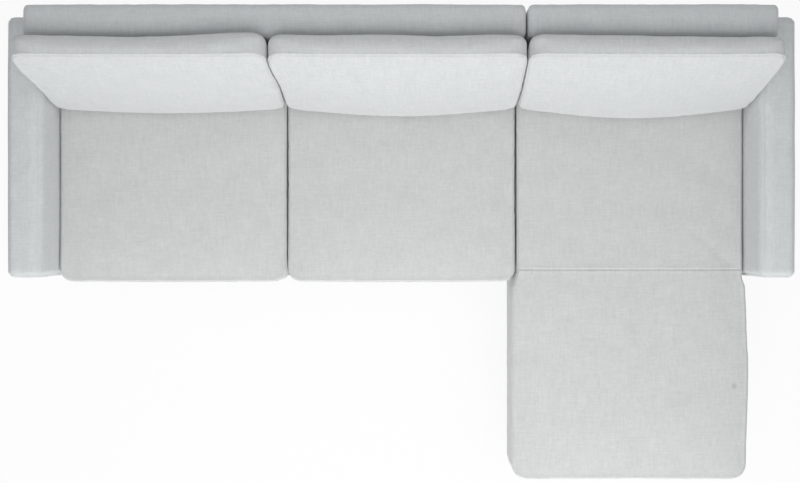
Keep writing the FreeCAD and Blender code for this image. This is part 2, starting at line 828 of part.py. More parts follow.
side_step = "(cover_cloth + rail_wood)"
block_middle = "block_side / 2"
front_spring = "front + cover_cloth + rail_wood / 2"
rear_spring = "upright_front - rail_wood / 2"

# The two-seat unit
sockets = [connector_socket(number, y) for number, y in enumerate(connector_places(), 1)]
node(group("sofa_connector_sockets", [piece for made, _ in sockets for piece in made]))
sofa_leg_right = f"sofa_right - {side_step} - {block_middle}"
sofa_legs = [
    ("front_left", "leg_inset - half_width", "front + leg_inset"),
    ("rear_left", "leg_inset - half_width", "rear - leg_inset"),
    ("front_right", sofa_leg_right, f"front + {side_step} + {block_middle}"),
    ("rear_right", sofa_leg_right, f"rear_rail_in - {block_middle}"),
]
sofa_leg_drills = unit_legs("sofa", sofa_legs, [holes for _, holes in sockets])
sofa_bolt_drills = unit_bolts(
    "sofa",
    f"sofa_left + {side_step}",
    -1,
    f"sofa_right - {side_step} - upright_wood",
)
all_sofa_drills = group("sofa_all_drills", [sofa_leg_drills, sofa_bolt_drills])
sofa_arm_span = ("-half_width", "-arm_in")
middle = "(sofa_left + sofa_right) / 2"
centre_rail = (
    (f"{middle} - rail_wood / 2", f"{middle} + rail_wood / 2"),
    (f"front + {side_step}", "upright_front - rail_wood"),
    ("base", "rail_top - centre_drop"),
)
seat_box(
    "sofa",
    "sofa_left",
    "sofa_right",
    "front",
    sofa_arm_span,
    centre_rail,
    sofa_bolt_drills,
    sofa_leg_drills,
)
arm("left_arm", *sofa_arm_span, all_sofa_drills)
sofa_uprights = [
    f"sofa_left + {side_step}",
    "(sofa_left + sofa_right - upright_wood) / 2",
    f"sofa_right - {side_step} - upright_wood",
]
back("sofa", "sofa_left + back_end_gap", "sofa_right", sofa_uprights, sofa_bolt_drills)
springs(
    "sofa",
    [("sofa_left", front_spring, rear_spring), ("sofa_left + seat_bay", front_spring, rear_spring)],
)
seat_cushion("left_seat_cushion", "sofa_left")
seat_cushion("middle_seat_cushion", "sofa_left + seat_bay")
back_cushion("left_back_cushion", "sofa_left")
back_cushion("middle_back_cushion", "sofa_left + seat_bay")

# The chaise unit
tongues = [connector_tongue(number, y) for number, y in enumerate(connector_places(), 1)]
node(group("chaise_connector_tongues", [piece for made, _ in tongues for piece in made]))
chaise_leg_left = f"chaise_left + {side_step} + {block_middle}"
chaise_leg_right = f"chaise_right - {side_step} - {block_middle}"
chaise_leg_front = f"chaise_front + {side_step} + {block_middle}"
chaise_legs = [
    ("front_left", chaise_leg_left, chaise_leg_front),
    ("front_right", chaise_leg_right, chaise_leg_front),
    ("rear_left", chaise_leg_left, f"rear_rail_in - {block_middle}"),
    ("rear_right", "half_width - leg_inset", "rear - leg_inset"),
]
chaise_leg_drills = unit_legs("chaise", chaise_legs, [holes for _, holes in tongues])
chaise_bolt_drills = unit_bolts(
    "chaise",
    f"chaise_right - {side_step}",
    1,
    f"chaise_left + {side_step} + upright_wood",
)
all_chaise_drills = group("chaise_all_drills", [chaise_leg_drills, chaise_bolt_drills])
chaise_arm_span = ("arm_in", "half_width")
spring_cross_rail = (
    (f"chaise_left + {side_step}", f"chaise_right - {side_step}"),
    ("front", "front + rail_wood"),
    ("base", "rail_top"),
)
seat_box(
    "chaise",
    "chaise_left",
    "chaise_right",
    "chaise_front",
    chaise_arm_span,
    spring_cross_rail,
    chaise_bolt_drills,
    chaise_leg_drills,
)
arm("right_arm", *chaise_arm_span, all_chaise_drills)
chaise_uprights = [f"chaise_left + {side_step}", f"chaise_right - {side_step} - upright_wood"]
back("chaise", "chaise_left", "chaise_right - back_end_gap", chaise_uprights, chaise_bolt_drills)
cross_middle = "front + rail_wood / 2"
clip_step = "(clip_depth / 2 + clip_play)"
springs(
    "chaise",
    [
        ("split", "chaise_front + cover_cloth + rail_wood / 2", f"{cross_middle} - {clip_step}"),
        ("split", f"{cross_middle} + {clip_step}", rear_spring),
    ],
)
chaise_cushion("chaise_cushion")
back_cushion("right_back_cushion", "split")

# Check everything, then write one file for each sub-part
doc.recompute()
failed = [item.Label for item in doc.Objects if "Invalid" in item.State or "Error" in item.State]
bad = [item.Label for item in nodes if item.Shape.isNull() or not item.Shape.isValid()]
if failed or bad:
    raise RuntimeError(f"failed: {failed}, not valid: {bad}")
os.makedirs("parts", exist_ok=True)
for item in nodes:
    item.Shape.exportStep(f"parts/{item.Label}.step")
print(len(nodes), "sub-parts,", sum(len(item.Shape.Solids) for item in nodes), "solids")
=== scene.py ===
import math

import bpy
import numpy as np
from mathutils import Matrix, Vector, noise


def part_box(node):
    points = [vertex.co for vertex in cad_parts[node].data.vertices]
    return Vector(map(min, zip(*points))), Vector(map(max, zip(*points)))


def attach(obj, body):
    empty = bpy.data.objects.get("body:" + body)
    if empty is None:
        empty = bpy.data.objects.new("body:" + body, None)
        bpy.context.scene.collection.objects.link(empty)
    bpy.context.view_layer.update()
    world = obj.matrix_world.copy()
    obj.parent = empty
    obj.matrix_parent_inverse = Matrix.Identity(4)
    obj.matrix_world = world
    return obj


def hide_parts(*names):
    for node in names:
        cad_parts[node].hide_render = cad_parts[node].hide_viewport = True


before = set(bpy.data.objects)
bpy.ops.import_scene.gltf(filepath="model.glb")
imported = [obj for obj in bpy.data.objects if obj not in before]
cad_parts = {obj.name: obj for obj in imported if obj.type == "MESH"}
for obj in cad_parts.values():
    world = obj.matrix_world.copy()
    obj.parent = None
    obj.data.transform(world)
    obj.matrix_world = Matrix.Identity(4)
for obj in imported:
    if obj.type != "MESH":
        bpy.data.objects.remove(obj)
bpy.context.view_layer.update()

# A sectional sofa seen from straight above. Lengths are in metres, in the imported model's frame:
# X runs along the back towards the chaise, +Y points at the back, and Z = 0 is the floor.

scene = bpy.context.scene


# Camera, floor and light

camera = {
    "place": (0.0085, 0.039, 4.0),
    "focalPixels": 1062,
    "imageWidth": 800,
    "sensor": 36.0,
    "sideShift": -0.005,
}
studio = {
    "floorColour": (0.86, 0.86, 0.86),
    "floorGrain": (0.88, 0.88, 0.88),
    "floorGlow": 0.9,  # how much of the floor the camera sees as plain white
    "worldColour": (0.96, 0.98, 1.0, 1),
    "worldLight": 0.41,
    "aim": (0.0, 0.1, 0.4),  # the point that the lamps face
    "frontLamp": {"place": (0.1, -4.2, 2.2), "size": (4.2, 1.8), "power": 104},
    "topLamp": {"place": (0.0, -0.8, 2.7), "size": (3.4, 1.4), "power": 39},
    "rearLamp": {"place": (0.0, 4.2, 1.1), "size": (4.0, 1.6), "power": 35},
}


def makeCamera():
    data = bpy.data.cameras.new("photoCamera")
    data.sensor_width = camera["sensor"]
    data.lens = camera["focalPixels"] / camera["imageWidth"] * camera["sensor"]
    data.shift_x = camera["sideShift"]
    data.clip_end = 60
    seen = bpy.data.objects.new("photoCamera", data)
    seen.location = camera["place"]  # unturned, a camera looks straight down with +Y up
    scene.collection.objects.link(seen)
    scene.camera = seen


def lamp(name, place, size, power):
    data = bpy.data.lights.new(name, "AREA")
    data.shape = "RECTANGLE"
    data.size, data.size_y = size
    data.energy = power
    made = bpy.data.objects.new(name, data)
    made.location = place
    aim = Vector(studio["aim"]) - Vector(place)
    made.rotation_euler = aim.to_track_quat("-Z", "Y").to_euler()
    scene.collection.objects.link(made)


def anyRay(tree, *kinds):
    # 1 for a ray of any of these kinds, and 0 for the others
    rays = put(tree, "ShaderNodeLightPath").outputs
    found = rays[kinds[0]]
    for kind in kinds[1:]:
        found = calculate(tree, "MAXIMUM", found, rays[kind])
    return found


def makeStudio():
    material, tree, shader = newMaterial("paleFloor", studio["floorColour"], 0.9)
    grain = put(tree, "ShaderNodeTexNoise", {"Scale": 3.0, "Detail": 2.0})
    colourBy(tree, shader, grain.outputs["Fac"], (0.3, studio["floorColour"]), (0.7, studio["floorGrain"]))
    glow = put(tree, "ShaderNodeEmission", {"Color": (1, 1, 1, 1), "Strength": 1.0})
    seen = anyRay(tree, "Is Camera Ray", "Is Glossy Ray", "Is Transmission Ray")
    share = calculate(tree, "MULTIPLY", seen, studio["floorGlow"])
    mixed = put(tree, "ShaderNodeMixShader", {0: share, 1: shader.outputs[0], 2: glow.outputs[0]})
    tree.links.new(mixed.outputs[0], tree.nodes["Material Output"].inputs["Surface"])
    bpy.ops.mesh.primitive_plane_add(size=40)
    floor = bpy.context.object
    floor.name = "studioFloor"
    floor.data.materials.append(material)

    world = bpy.data.worlds.new("studioWorld")
    world.use_nodes = True
    scene.world = world
    tree = world.node_tree
    light = tree.nodes["Background"]
    light.inputs["Color"].default_value = studio["worldColour"]
    light.inputs["Strength"].default_value = studio["worldLight"]
    plain = put(tree, "ShaderNodeBackground", {"Color": (1, 1, 1, 1), "Strength": 1.0})
    seen = anyRay(tree, "Is Camera Ray", "Is Transmission Ray")
    mixed = put(tree, "ShaderNodeMixShader", {0: seen, 1: light.outputs[0], 2: plain.outputs[0]})
    tree.links.new(mixed.outputs[0], tree.nodes["World Output"].inputs["Surface"])
    for name in ("frontLamp", "topLamp", "rearLamp"):
        lamp(name, **studio[name])
    scene.view_settings.view_transform = "Standard"


# Materials

def put(tree, kind, values=None, **options):
    # adds a node; a value is a number or colour, or the socket that feeds it
    node = tree.nodes.new(kind)
    for option, choice in options.items():
        setattr(node, option, choice)
    for where, value in (values or {}).items():
        if isinstance(value, bpy.types.NodeSocket):
            tree.links.new(value, node.inputs[where])
        else:
            node.inputs[where].default_value = value
    return node


def calculate(tree, operation, *values):
    return put(tree, "ShaderNodeMath", dict(enumerate(values)), operation=operation).outputs[0]


def colourBy(tree, shader, factor, *stops):
    # the base colour goes through the stops, each a place and a colour, as the factor rises
    node = put(tree, "ShaderNodeValToRGB", {0: factor})
    elements = node.color_ramp.elements
    while len(elements) < len(stops):
        elements.new(0.5)
    for element, (place, colour) in zip(elements, stops):
        element.position = place
        element.color = (*colour, 1)
    tree.links.new(node.outputs["Color"], shader.inputs["Base Color"])


def darker(colour, share):
    return tuple(c * (1 - share) for c in colour)


def lighter(colour, share):
    return tuple(min(c * (1 + share), 1) for c in colour)


def objectPlace(tree):
    return put(tree, "ShaderNodeTexCoord").outputs["Object"]


def stretchedNoise(tree, coordinates, scale, detail=3.0, roughness=0.6):
    # noise whose grains are 1 / scale metres long on each axis, centred on nought
    spread = put(tree, "ShaderNodeMapping", {"Vector": coordinates, "Scale": scale})
    grain = put(tree, "ShaderNodeTexNoise", {
        "Vector": spread.outputs[0], "Scale": 1.0, "Detail": detail, "Roughness": roughness,
    })
    return calculate(tree, "SUBTRACT", grain.outputs["Fac"], 0.5)


def newMaterial(name, colour, roughness, finish={}):
    # finish holds other values of the shader, by socket
    material = bpy.data.materials.new(name)
    material.use_nodes = True
    material.diffuse_color = (*colour, 1)
    shader = material.node_tree.nodes["Principled BSDF"]
    for socket, value in {"Roughness": roughness, **finish}.items():
        shader.inputs[socket].default_value = value
    return material, material.node_tree, shader


def roughen(tree, shader, height, depth, strength):
    bump = put(tree, "ShaderNodeBump", {"Height": height, "Distance": depth, "Strength": strength})
    tree.links.new(bump.outputs[0], shader.inputs["Normal"])


fabricLook = {
    "contrast": 0.13,  # of the dark and the light tone, each side of the colour
    "threadPitch": 0.0016,
    "threadDepth": 0.0005,
    "streakWidth": 0.0040,
    "streakLength": 0.07,
    "streakDepth": 0.80,  # how far the streaks move the tone between dark and light
    "mottleDepth": 0.75,
    "mottleSize": 0.012,
    "napDepth": 0.55,
    "cloudSize": 0.05,
    "roughness": 0.92,
    "finish": {"Sheen Weight": 0.45, "Sheen Roughness": 0.45, "Specular IOR Level": 0.18},
}


def wovenFabric(name, colour):
    # a fine chenille weave: crossed threads, long and short streaks, soft mottling
    look = fabricLook
    material, tree, shader = newMaterial(name, colour, look["roughness"], look["finish"])
    cloth = put(tree, "ShaderNodeUVMap").outputs[0]
    wide, long = 1 / look["streakWidth"], 1 / look["streakLength"]
    spots, clouds = 1 / look["mottleSize"], 1 / look["cloudSize"]
    warp = stretchedNoise(tree, cloth, (wide, long, 1))
    weft = stretchedNoise(tree, cloth, (long, wide, 1))
    mottle = stretchedNoise(tree, cloth, (spots, spots, 1), 4.0, 0.6)
    nap = stretchedNoise(tree, cloth, (clouds, 0.8 * clouds, 1), 3.0, 0.7)
    streaks = calculate(tree, "MULTIPLY", calculate(tree, "ADD", warp, weft), look["streakDepth"])
    tone = calculate(tree, "ADD", streaks, 0.5)
    tone = calculate(tree, "MULTIPLY_ADD", mottle, look["mottleDepth"], tone)
    tone = calculate(tree, "MULTIPLY_ADD", nap, look["napDepth"], tone)
    dark = darker(colour, look["contrast"])
    cool = (dark[0] * 0.985, dark[1], dark[2] * 1.01)
    colourBy(tree, shader, tone, (0.0, cool), (1.0, lighter(colour, look["contrast"])))
    threads = []
    for direction in ("X", "Y"):
        wave = put(tree, "ShaderNodeTexWave", {
            "Vector": cloth, "Scale": math.pi / 10 / look["threadPitch"],
            "Distortion": 0.6, "Detail": 1.0, "Detail Scale": 2.0,
        }, bands_direction=direction)
        threads.append(wave.outputs["Fac"])
    weave = calculate(tree, "MULTIPLY", *threads)
    height = calculate(tree, "MULTIPLY_ADD", streaks, 0.8, weave)
    roughen(tree, shader, height, look["threadDepth"], 0.5)
    return material


def softMark(material, mark):
    # one small faded spot, darkest in its middle
    tree = material.node_tree
    shader = tree.nodes["Principled BSDF"]
    cloth = shader.inputs["Base Color"].links[0].from_socket
    level = put(tree, "ShaderNodeVectorMath", {0: objectPlace(tree), 1: (1, 1, 0)}, operation="MULTIPLY")
    away = put(tree, "ShaderNodeVectorMath", {0: level.outputs[0], 1: mark["place"]}, operation="DISTANCE")
    spot = put(tree, "ShaderNodeMapRange", {
        "Value": away.outputs["Value"], "From Min": 0.0, "From Max": mark["radius"],
        "To Min": mark["strength"], "To Max": 0.0,
    })
    grey = put(tree, "ShaderNodeMix", {
        "Factor": spot.outputs[0], 6: cloth, 7: (*mark["colour"], 1),
    }, data_type="RGBA")
    tree.links.new(grey.outputs[2], shader.inputs["Base Color"])


def threadMaterial(name, colour):
    material, tree, shader = newMaterial(name, colour, 0.7)
    twist = put(tree, "ShaderNodeTexNoise", {"Vector": objectPlace(tree), "Scale": 900.0}).outputs["Fac"]
    colourBy(tree, shader, twist, (0.3, darker(colour, 0.15)), (0.7, colour))
    roughen(tree, shader, twist, 0.0002, 0.6)
    return material


def wood(name, light, dark, scale, roughness, axis, coat=0.0):
    # grain that runs along one axis
    finish = {"Coat Weight": coat, "Coat Roughness": 0.25}
    material, tree, shader = newMaterial(name, light, roughness, finish)
    place = objectPlace(tree)
    along = [scale] * 3
    along[axis] = scale * 0.07
    grain = stretchedNoise(tree, place, along, 6.0, 0.62)
    rings = stretchedNoise(tree, place, [a * 0.16 for a in along], 2.0)
    waves = calculate(tree, "SINE", calculate(tree, "MULTIPLY", rings, 46.0))
    tone = calculate(tree, "ADD", calculate(tree, "MULTIPLY_ADD", waves, 0.16, grain), 0.5)
    middle = tuple((a + b) / 2 for a, b in zip(light, dark))
    colourBy(tree, shader, tone, (0.2, dark), (0.5, middle), (0.8, light))
    roughen(tree, shader, grain, 0.0004, 0.35)
    return material


def metal(name, colour, roughness):
    material, tree, shader = newMaterial(name, colour, roughness, {"Metallic": 1.0})
    place = objectPlace(tree)
    spangle = put(tree, "ShaderNodeTexVoronoi", {"Vector": place, "Scale": 190.0})
    colourBy(tree, shader, spangle.outputs["Distance"], (0.0, darker(colour, 0.14)), (0.6, colour))
    rub = put(tree, "ShaderNodeTexNoise", {"Vector": place, "Scale": 320.0})
    roughen(tree, shader, rub.outputs["Fac"], 0.0001, 0.4)
    return material


def plainGrain(name, colour, roughness, scale, depth, contrast=0.12):
    # moulded plastic, foam or felt: fine grains of two near tones
    material, tree, shader = newMaterial(name, colour, roughness)
    grains = put(tree, "ShaderNodeTexNoise", {
        "Vector": objectPlace(tree), "Scale": scale, "Detail": 4.0,
    }).outputs["Fac"]
    colourBy(tree, shader, grains, (0.3, darker(colour, contrast)), (0.7, lighter(colour, contrast)))
    roughen(tree, shader, grains, depth, 0.5)
    return material


def straps(name, colour):
    # ribbed elastic webbing
    material, tree, shader = newMaterial(name, colour, 0.8)
    ribs = put(tree, "ShaderNodeTexWave", {
        "Vector": objectPlace(tree), "Scale": 130.0, "Distortion": 0.3,
    }, bands_direction="X").outputs["Fac"]
    colourBy(tree, shader, ribs, (0.2, colour), (0.8, lighter(colour, 0.7)))
    roughen(tree, shader, ribs, 0.0006, 0.7)
    return material


# one cloth in four copies: the back and shell copies are a little lighter than the seat ones, and the shell
# a little bluer, as painted light for how the light falls on those pieces
fabricColours = {  # linear
    "seatFabric": (0.59, 0.60, 0.585),
    "chaiseFabric": (0.59, 0.60, 0.588),
    "backFabric": (0.61, 0.62, 0.615),
    "shellFabric": (0.61, 0.625, 0.625),
}
chaiseMark = {
    "place": (1.112, -0.444, 0.0), "radius": 0.014, "strength": 0.55, "colour": (0.30, 0.31, 0.32),
}


def makeMaterials():
    made = {name: wovenFabric(name, colour) for name, colour in fabricColours.items()}
    softMark(made["chaiseFabric"], chaiseMark)
    made["thread"] = threadMaterial("thread", (0.55, 0.565, 0.565))
    made["frameWood"] = wood("frameWood", (0.72, 0.55, 0.36), (0.55, 0.38, 0.22), 60, 0.75, 0)
    made["legWood"] = wood("legWood", (0.20, 0.095, 0.042), (0.085, 0.037, 0.016), 90, 0.38, 2, 0.35)
    made["steel"] = metal("steel", (0.62, 0.63, 0.65), 0.34)
    made["nylon"] = plainGrain("nylon", (0.03, 0.03, 0.033), 0.5, 300, 0.0001)
    made["dustCloth"] = plainGrain("dustCloth", (0.022, 0.022, 0.026), 0.95, 700, 0.0004, 0.35)
    made["deckCloth"] = plainGrain("deckCloth", (0.30, 0.31, 0.32), 0.95, 500, 0.0004, 0.2)
    made["foam"] = plainGrain("foam", (0.84, 0.80, 0.66), 0.9, 260, 0.0006)
    made["webbing"] = straps("webbing", (0.05, 0.05, 0.055))
    return made


# Soft forms: a block whose surface is six grids of points that meet at its edges

def blockNumbers(lines):
    # numbers the points on the surface of a block that has these lines each way
    numbers = np.full([len(line) for line in lines], -1)
    skin = np.ones(numbers.shape, bool)
    skin[1:-1, 1:-1, 1:-1] = False
    numbers[skin] = np.arange(skin.sum())
    return numbers


def blockSides(numbers):
    # each side's point numbers, turned so that its faces look outwards, and its two axes
    return {
        "top": (numbers[:, :, -1], 0, 1),
        "bottom": (numbers[:, :, 0].T, 1, 0),
        "front": (numbers[:, 0, :], 0, 2),
        "rear": (numbers[:, -1, :].T, 2, 0),
        "left": (numbers[0].T, 2, 1),
        "right": (numbers[-1], 1, 2),
    }


def aroundCells(grid):
    # the four corners of each cell of a grid, in turn
    return grid[:-1, :-1], grid[1:, :-1], grid[1:, 1:], grid[:-1, 1:]


def blockForm(lines):
    # a plain block's point numbers, its surface points and its faces
    numbers = blockNumbers(lines)
    skin = numbers >= 0
    points = np.stack([place[skin] for place in np.meshgrid(*lines, indexing="ij")], 1)
    sides = blockSides(numbers).values()
    faces = [np.stack([c.ravel() for c in aroundCells(side)], 1) for side, _, _ in sides]
    return numbers, points, np.concatenate(faces)


def blockUvs(numbers, lines, shift):
    # the cloth's own metres on each side of the block, for each face's corners in turn
    corners = []
    for _, a, b in blockSides(numbers).values():
        u, v = np.meshgrid(lines[a], lines[b], indexing="ij")
        flat = np.stack([u, v] if a < b else [v, u], 2) + shift
        corners.append(np.stack([c.reshape(-1, 2) for c in aroundCells(flat)], 1))
        shift += 1.37
    return np.concatenate(corners).reshape(-1, 2)


def evenLines(low, high, pitch):
    return np.linspace(low, high, max(4, round((high - low) / pitch)) + 1)


def seamLines(low, high, pitch, seams):
    # even lines, with closer ones beside each seam
    near = (0.0, 0.0016, 0.0034, 0.0056, 0.0085, 0.013)
    wanted = {low, high}
    for seam in seams:
        wanted |= {seam + sign * step for step in near for sign in (-1, 1)}
    close = sorted(x for x in wanted if low - 1e-9 <= x <= high + 1e-9)
    lines = [close[0]]
    for start, end in zip(close, close[1:]):
        steps = max(1, round((end - start) / pitch))
        lines += [start + (end - start) * i / steps for i in range(1, steps + 1)]
    return np.array(lines)


def formLines(box, pitch, seams):
    return [seamLines(*span, pitch, places) for span, places in zip(box, seams)]


def nearest(line, place):
    return int(np.argmin(np.abs(line - place)))


def curveWeights(coarse, fine):
    # how a smooth curve through the coarse lines gives each fine line
    at = np.interp(fine, coarse, np.arange(len(coarse)))
    cell = np.clip(at.astype(int), 0, len(coarse) - 2)
    t = (at - cell)[:, None]
    own = np.eye(len(coarse))
    own = np.vstack([2 * own[0] - own[1], own, 2 * own[-1] - own[-2]])
    shares = (-t + 2 * t**2 - t**3, 2 - 5 * t**2 + 3 * t**3, t + 4 * t**2 - 3 * t**3, t**3 - t**2)
    return sum(own[cell + step] * share / 2 for step, share in enumerate(shares))


def refine(points, coarse, fine):
    # the same form on closer lines
    weights = [curveWeights(a, b) for a, b in zip(coarse, fine)]
    target = blockNumbers(fine)
    closer = np.zeros((target.max() + 1, 3))
    sides = zip(blockSides(blockNumbers(coarse)).values(), blockSides(target).values())
    for (side, a, b), (place, _, _) in sides:
        closer[place] = np.einsum("ij,jkx,lk->ilx", weights[a], points[side], weights[b])
    return closer


def rounded(points, box, radii):
    # rounds a block's edges and corners; radii give the low and the high side of each axis
    moved, pulls = points.copy(), np.zeros_like(points)
    for axis in range(3):
        (low, high), (lowRadius, highRadius) = box[axis], radii[axis]
        x = points[:, axis]
        if lowRadius:
            pulls[:, axis] -= np.clip((low + lowRadius - x) / lowRadius, 0, 1)
        if highRadius:
            pulls[:, axis] += np.clip((x - high + highRadius) / highRadius, 0, 1)
    largest = np.abs(pulls).max(1)
    length = np.linalg.norm(pulls, axis=1)
    shrink = np.where(length > 1e-9, largest / np.maximum(length, 1e-9), 1)
    for axis in range(3):
        radius = np.where(pulls[:, axis] < 0, *radii[axis])
        moved[:, axis] -= pulls[:, axis] * (1 - shrink) * radius
    return moved


def borderDistance(points, box, side):
    # how far, along the cloth, each point of a block is from the edge of its top or bottom side
    x, y, z = points.T
    (x0, x1), (y0, y1), (z0, z1) = box
    inside = np.minimum.reduce([x - x0, x1 - x, y - y0, y1 - y])
    down = z1 - z if side == "top" else z - z0
    return np.where(down < 1e-9, inside, down)


def pointNormals(points, faces):
    a, b, c, d = (points[faces[:, i]] for i in range(4))
    turned = np.cross(c - a, d - b)
    normals = np.zeros_like(points)
    for i in range(4):
        np.add.at(normals, faces[:, i], turned)
    return normals / np.maximum(np.linalg.norm(normals, axis=1, keepdims=True), 1e-12)


def softNoise(points, size, shift):
    # smooth noise from -1 to 1 with waves of about that size
    return np.array([noise.noise(Vector(p)) for p in points / size + shift])


def meshObject(name, points, faces, material, uvs=None):
    mesh = bpy.data.meshes.new(name)
    mesh.from_pydata([tuple(p) for p in points], [], [tuple(int(i) for i in f) for f in faces])
    if uvs is not None:
        layer = mesh.uv_layers.new(name="cloth")
        layer.data.foreach_set("uv", np.asarray(uvs, np.float32).ravel())
    mesh.shade_smooth()
    mesh.materials.append(material)
    made = bpy.data.objects.new(name, mesh)
    scene.collection.objects.link(made)
    return made


def dress(piece, body, nodes):
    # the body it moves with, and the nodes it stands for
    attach(piece, body)
    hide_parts(*nodes)


swellFrames = 15
clothSettings = {
    "quality": 4,
    "mass": 0.4,
    "air_damping": 4,
    "use_pressure": True,
    "vertex_group_mass": "held",
    "pin_stiffness": 4,
}


def inflate(name, points, faces, settings, held):
    # blows a form up a little with a cloth simulation, and gives where its points end
    started = meshObject(name + "Start", points, faces, materials["foam"])
    group = started.vertex_groups.new(name="held")
    group.add([int(i) for i in np.nonzero(held)[0]], 1.0, "REPLACE")
    swell = started.modifiers.new("swell", "CLOTH")
    cloth = swell.settings
    for setting, value in {**clothSettings, **settings["cloth"]}.items():
        setattr(cloth, setting, value)
    cloth.compression_stiffness = cloth.tension_stiffness
    cloth.effector_weights.gravity = 0
    swell.collision_settings.use_collision = False
    swell.point_cache.frame_start, swell.point_cache.frame_end = 1, swellFrames
    for number in range(1, swellFrames + 1):
        scene.frame_set(number)
    blown = started.evaluated_get(bpy.context.evaluated_depsgraph_get()).to_mesh()
    ended = np.zeros(len(points) * 3)
    blown.vertices.foreach_get("co", ended)
    scene.frame_set(1)
    bpy.data.objects.remove(started)
    moved = ended.reshape(-1, 3) - points
    length = np.linalg.norm(moved, axis=1, keepdims=True)
    print(f"  {name}: swelled by up to {length.max() * 1000:.1f} mm")
    return points + moved * np.minimum(1, settings["cap"] / np.maximum(length, 1e-9))


def seamHold(flat, box, resting):
    # seams stay where they are sewn, and the side that rests on something stays flat
    seams = np.minimum(borderDistance(flat, box, "top"), borderDistance(flat, box, "bottom"))
    return (seams < 1e-6) | resting


def drawIn(points, flat, box, amount):
    # between its corners each seam is pulled in a little
    for axis, other in ((0, 1), (1, 0)):
        (low, high), (start, end) = box[axis], box[other]
        t = np.clip((flat[:, other] - start) / (end - start), 0, 1)
        side = (2 * flat[:, axis] - low - high) / (high - low)
        points[:, axis] -= amount * np.sin(math.pi * t) * side**3
    return points


def bowed(flat, box):
    # 0 at a block's left and right sides and 1 in its middle
    share = (flat[:, 0] - box[0][0]) / (box[0][1] - box[0][0])
    return np.sin(math.pi * share)


def smooth(value):
    t = np.clip(value, 0, 1)
    return t * t * (3 - 2 * t)


def smoothCurve(values, table):
    # reads a table with a smooth step from each of its values to the next
    places, heights = (np.array(column) for column in zip(*table))
    cell = np.clip(np.searchsorted(places, values) - 1, 0, len(places) - 2)
    share = smooth((values - places[cell]) / (places[cell + 1] - places[cell]))
    return heights[cell] + (heights[cell + 1] - heights[cell]) * share


def softLimit(values, low, high, give):
    # keeps values between two walls, easing into each over the give
    room = np.maximum(values - (low + give), -50 * give)
    eased = np.where(room < 0, low + give * np.exp(room / give), values)
    room = np.maximum((high - give) - eased, -50 * give)
    return np.where(room < 0, high - give * np.exp(room / give), eased)


seamLook = {
    "groove": 0.0024,
    "grooveWidth": 0.0026,
    "ridge": 0.0012,
    "ridgePlace": 0.0062,
    "ridgeWidth": 0.0035,
    "pucker": 0.0011,
    "puckerStart": 0.004,  # distance from the seam at which they have their full depth
    "puckerLength": 0.045,
    "puckerPitch": 0.022,
    "stitchLine": 0.0056,  # from the seam to its row of stitches
}


def seamRelief(distance):
    look = seamLook
    groove = look["groove"] * np.exp(-((distance / look["grooveWidth"]) ** 2))
    ridge = look["ridge"] * np.exp(-(((distance - look["ridgePlace"]) / look["ridgeWidth"]) ** 2))
    return ridge - groove


def puckers(points, distance, shift):
    look = seamLook
    fading = np.exp(-distance / look["puckerLength"]) * np.minimum(1, distance / look["puckerStart"])
    return look["pucker"] * softNoise(points, look["puckerPitch"], shift) * fading


# Loose cushions

rows = {"stitch": [], "staple": []}  # of each row its body, its path, and whether that is closed
cushionFit = {
    "frontRoom": 0.006,  # how far the front may swell past its solid
    "gap": 0.0004,  # kept to whatever stands beside and behind
    "give": 0.002,
    "topGap": 0.0002,
    "topGive": 0.004,
    "crownRise": 0.008,  # of the top in front of the back cushions, which press it level under them
    "crownStart": 0.45,
    "crownLength": 0.16,
    "seamCalm": 0.05,  # waves start that far from a seam
}
straight = ((-9.0, 0.0), (9.0, 0.0))  # y and reach of a side that keeps to its bay
seatShape = {
    "pitch": 0.0135,  # of the points that are blown up
    "finePitch": 0.0075,
    "sideInset": 0.0015,  # from the CAD cushion's sides to the seams
    "frontInset": 0.005,
    "drawIn": 0.002,
    "topDrop": 0.013,  # from the CAD cushion's top to the upper seam
    "frontCorner": 0.042,
    "rearCorner": 0.034,
    "frontBow": 0.004,
    "bowDepth": 0.2,
    "sideGap": -0.0008,  # to its bay's walls, below nought where it may stand past them
    "sideGive": 0.002,
    "reach": (straight, straight),
    "bulge": (0.0, 0.0),
    "bulgeReach": 0.015,
    "wave": 0.0016,
    "waveLength": 0.16,
}
# The long cushion is as wide as its bay beside the arm and a little wider in front of it
chaiseShape = {
    **seatShape,
    "finePitch": 0.0085,
    "sideInset": 0.003,
    "frontInset": 0.004,
    "frontCorner": 0.050,
    "frontBow": 0.0,
    "sideGap": 0.0004,
    "sideGive": 0.003,
    # how far each side stands out beyond its bay in front of the arm: y and reach
    "reach": (
        ((-0.70, 0.017), (-0.40, 0.020), (-0.155, 0.018), (-0.112, 0.015), (-0.088, 0.006), (-0.062, 0.0)),
        ((-0.70, 0.012), (-0.40, 0.021), (-0.195, 0.0145), (-0.112, 0.010), (-0.083, 0.0)),
    ),
    "bulge": (0.010, 0.006),  # how much more it may swell, in full where it stands out by bulgeReach
    "crossSeam": 0.024,  # from the front of the arm back to the seam across the cushion
    "crossShare": 0.6,
    "wave": 0.0018,
    "waveLength": 0.17,
}
chaiseCreases = (  # start, end, width and depth of each faint fold beside the arm
    ((0.936, 0.106), (1.113, -0.053), 0.012, 0.0010),
    ((1.016, 0.006), (1.140, -0.060), 0.010, 0.0009),
)
cushions = {
    "left_seat_cushion": {
        "shape": seatShape, "material": "seatFabric", "bay": "left_seat_cushion_cover", "uvShift": 0.0,
    },
    "middle_seat_cushion": {
        "shape": seatShape, "material": "seatFabric", "bay": "middle_seat_cushion_cover", "uvShift": 3.1,
    },
    "chaise_cushion": {
        "shape": chaiseShape, "material": "chaiseFabric", "bay": "right_back_cushion_cover", "uvShift": 6.4,
    },
}
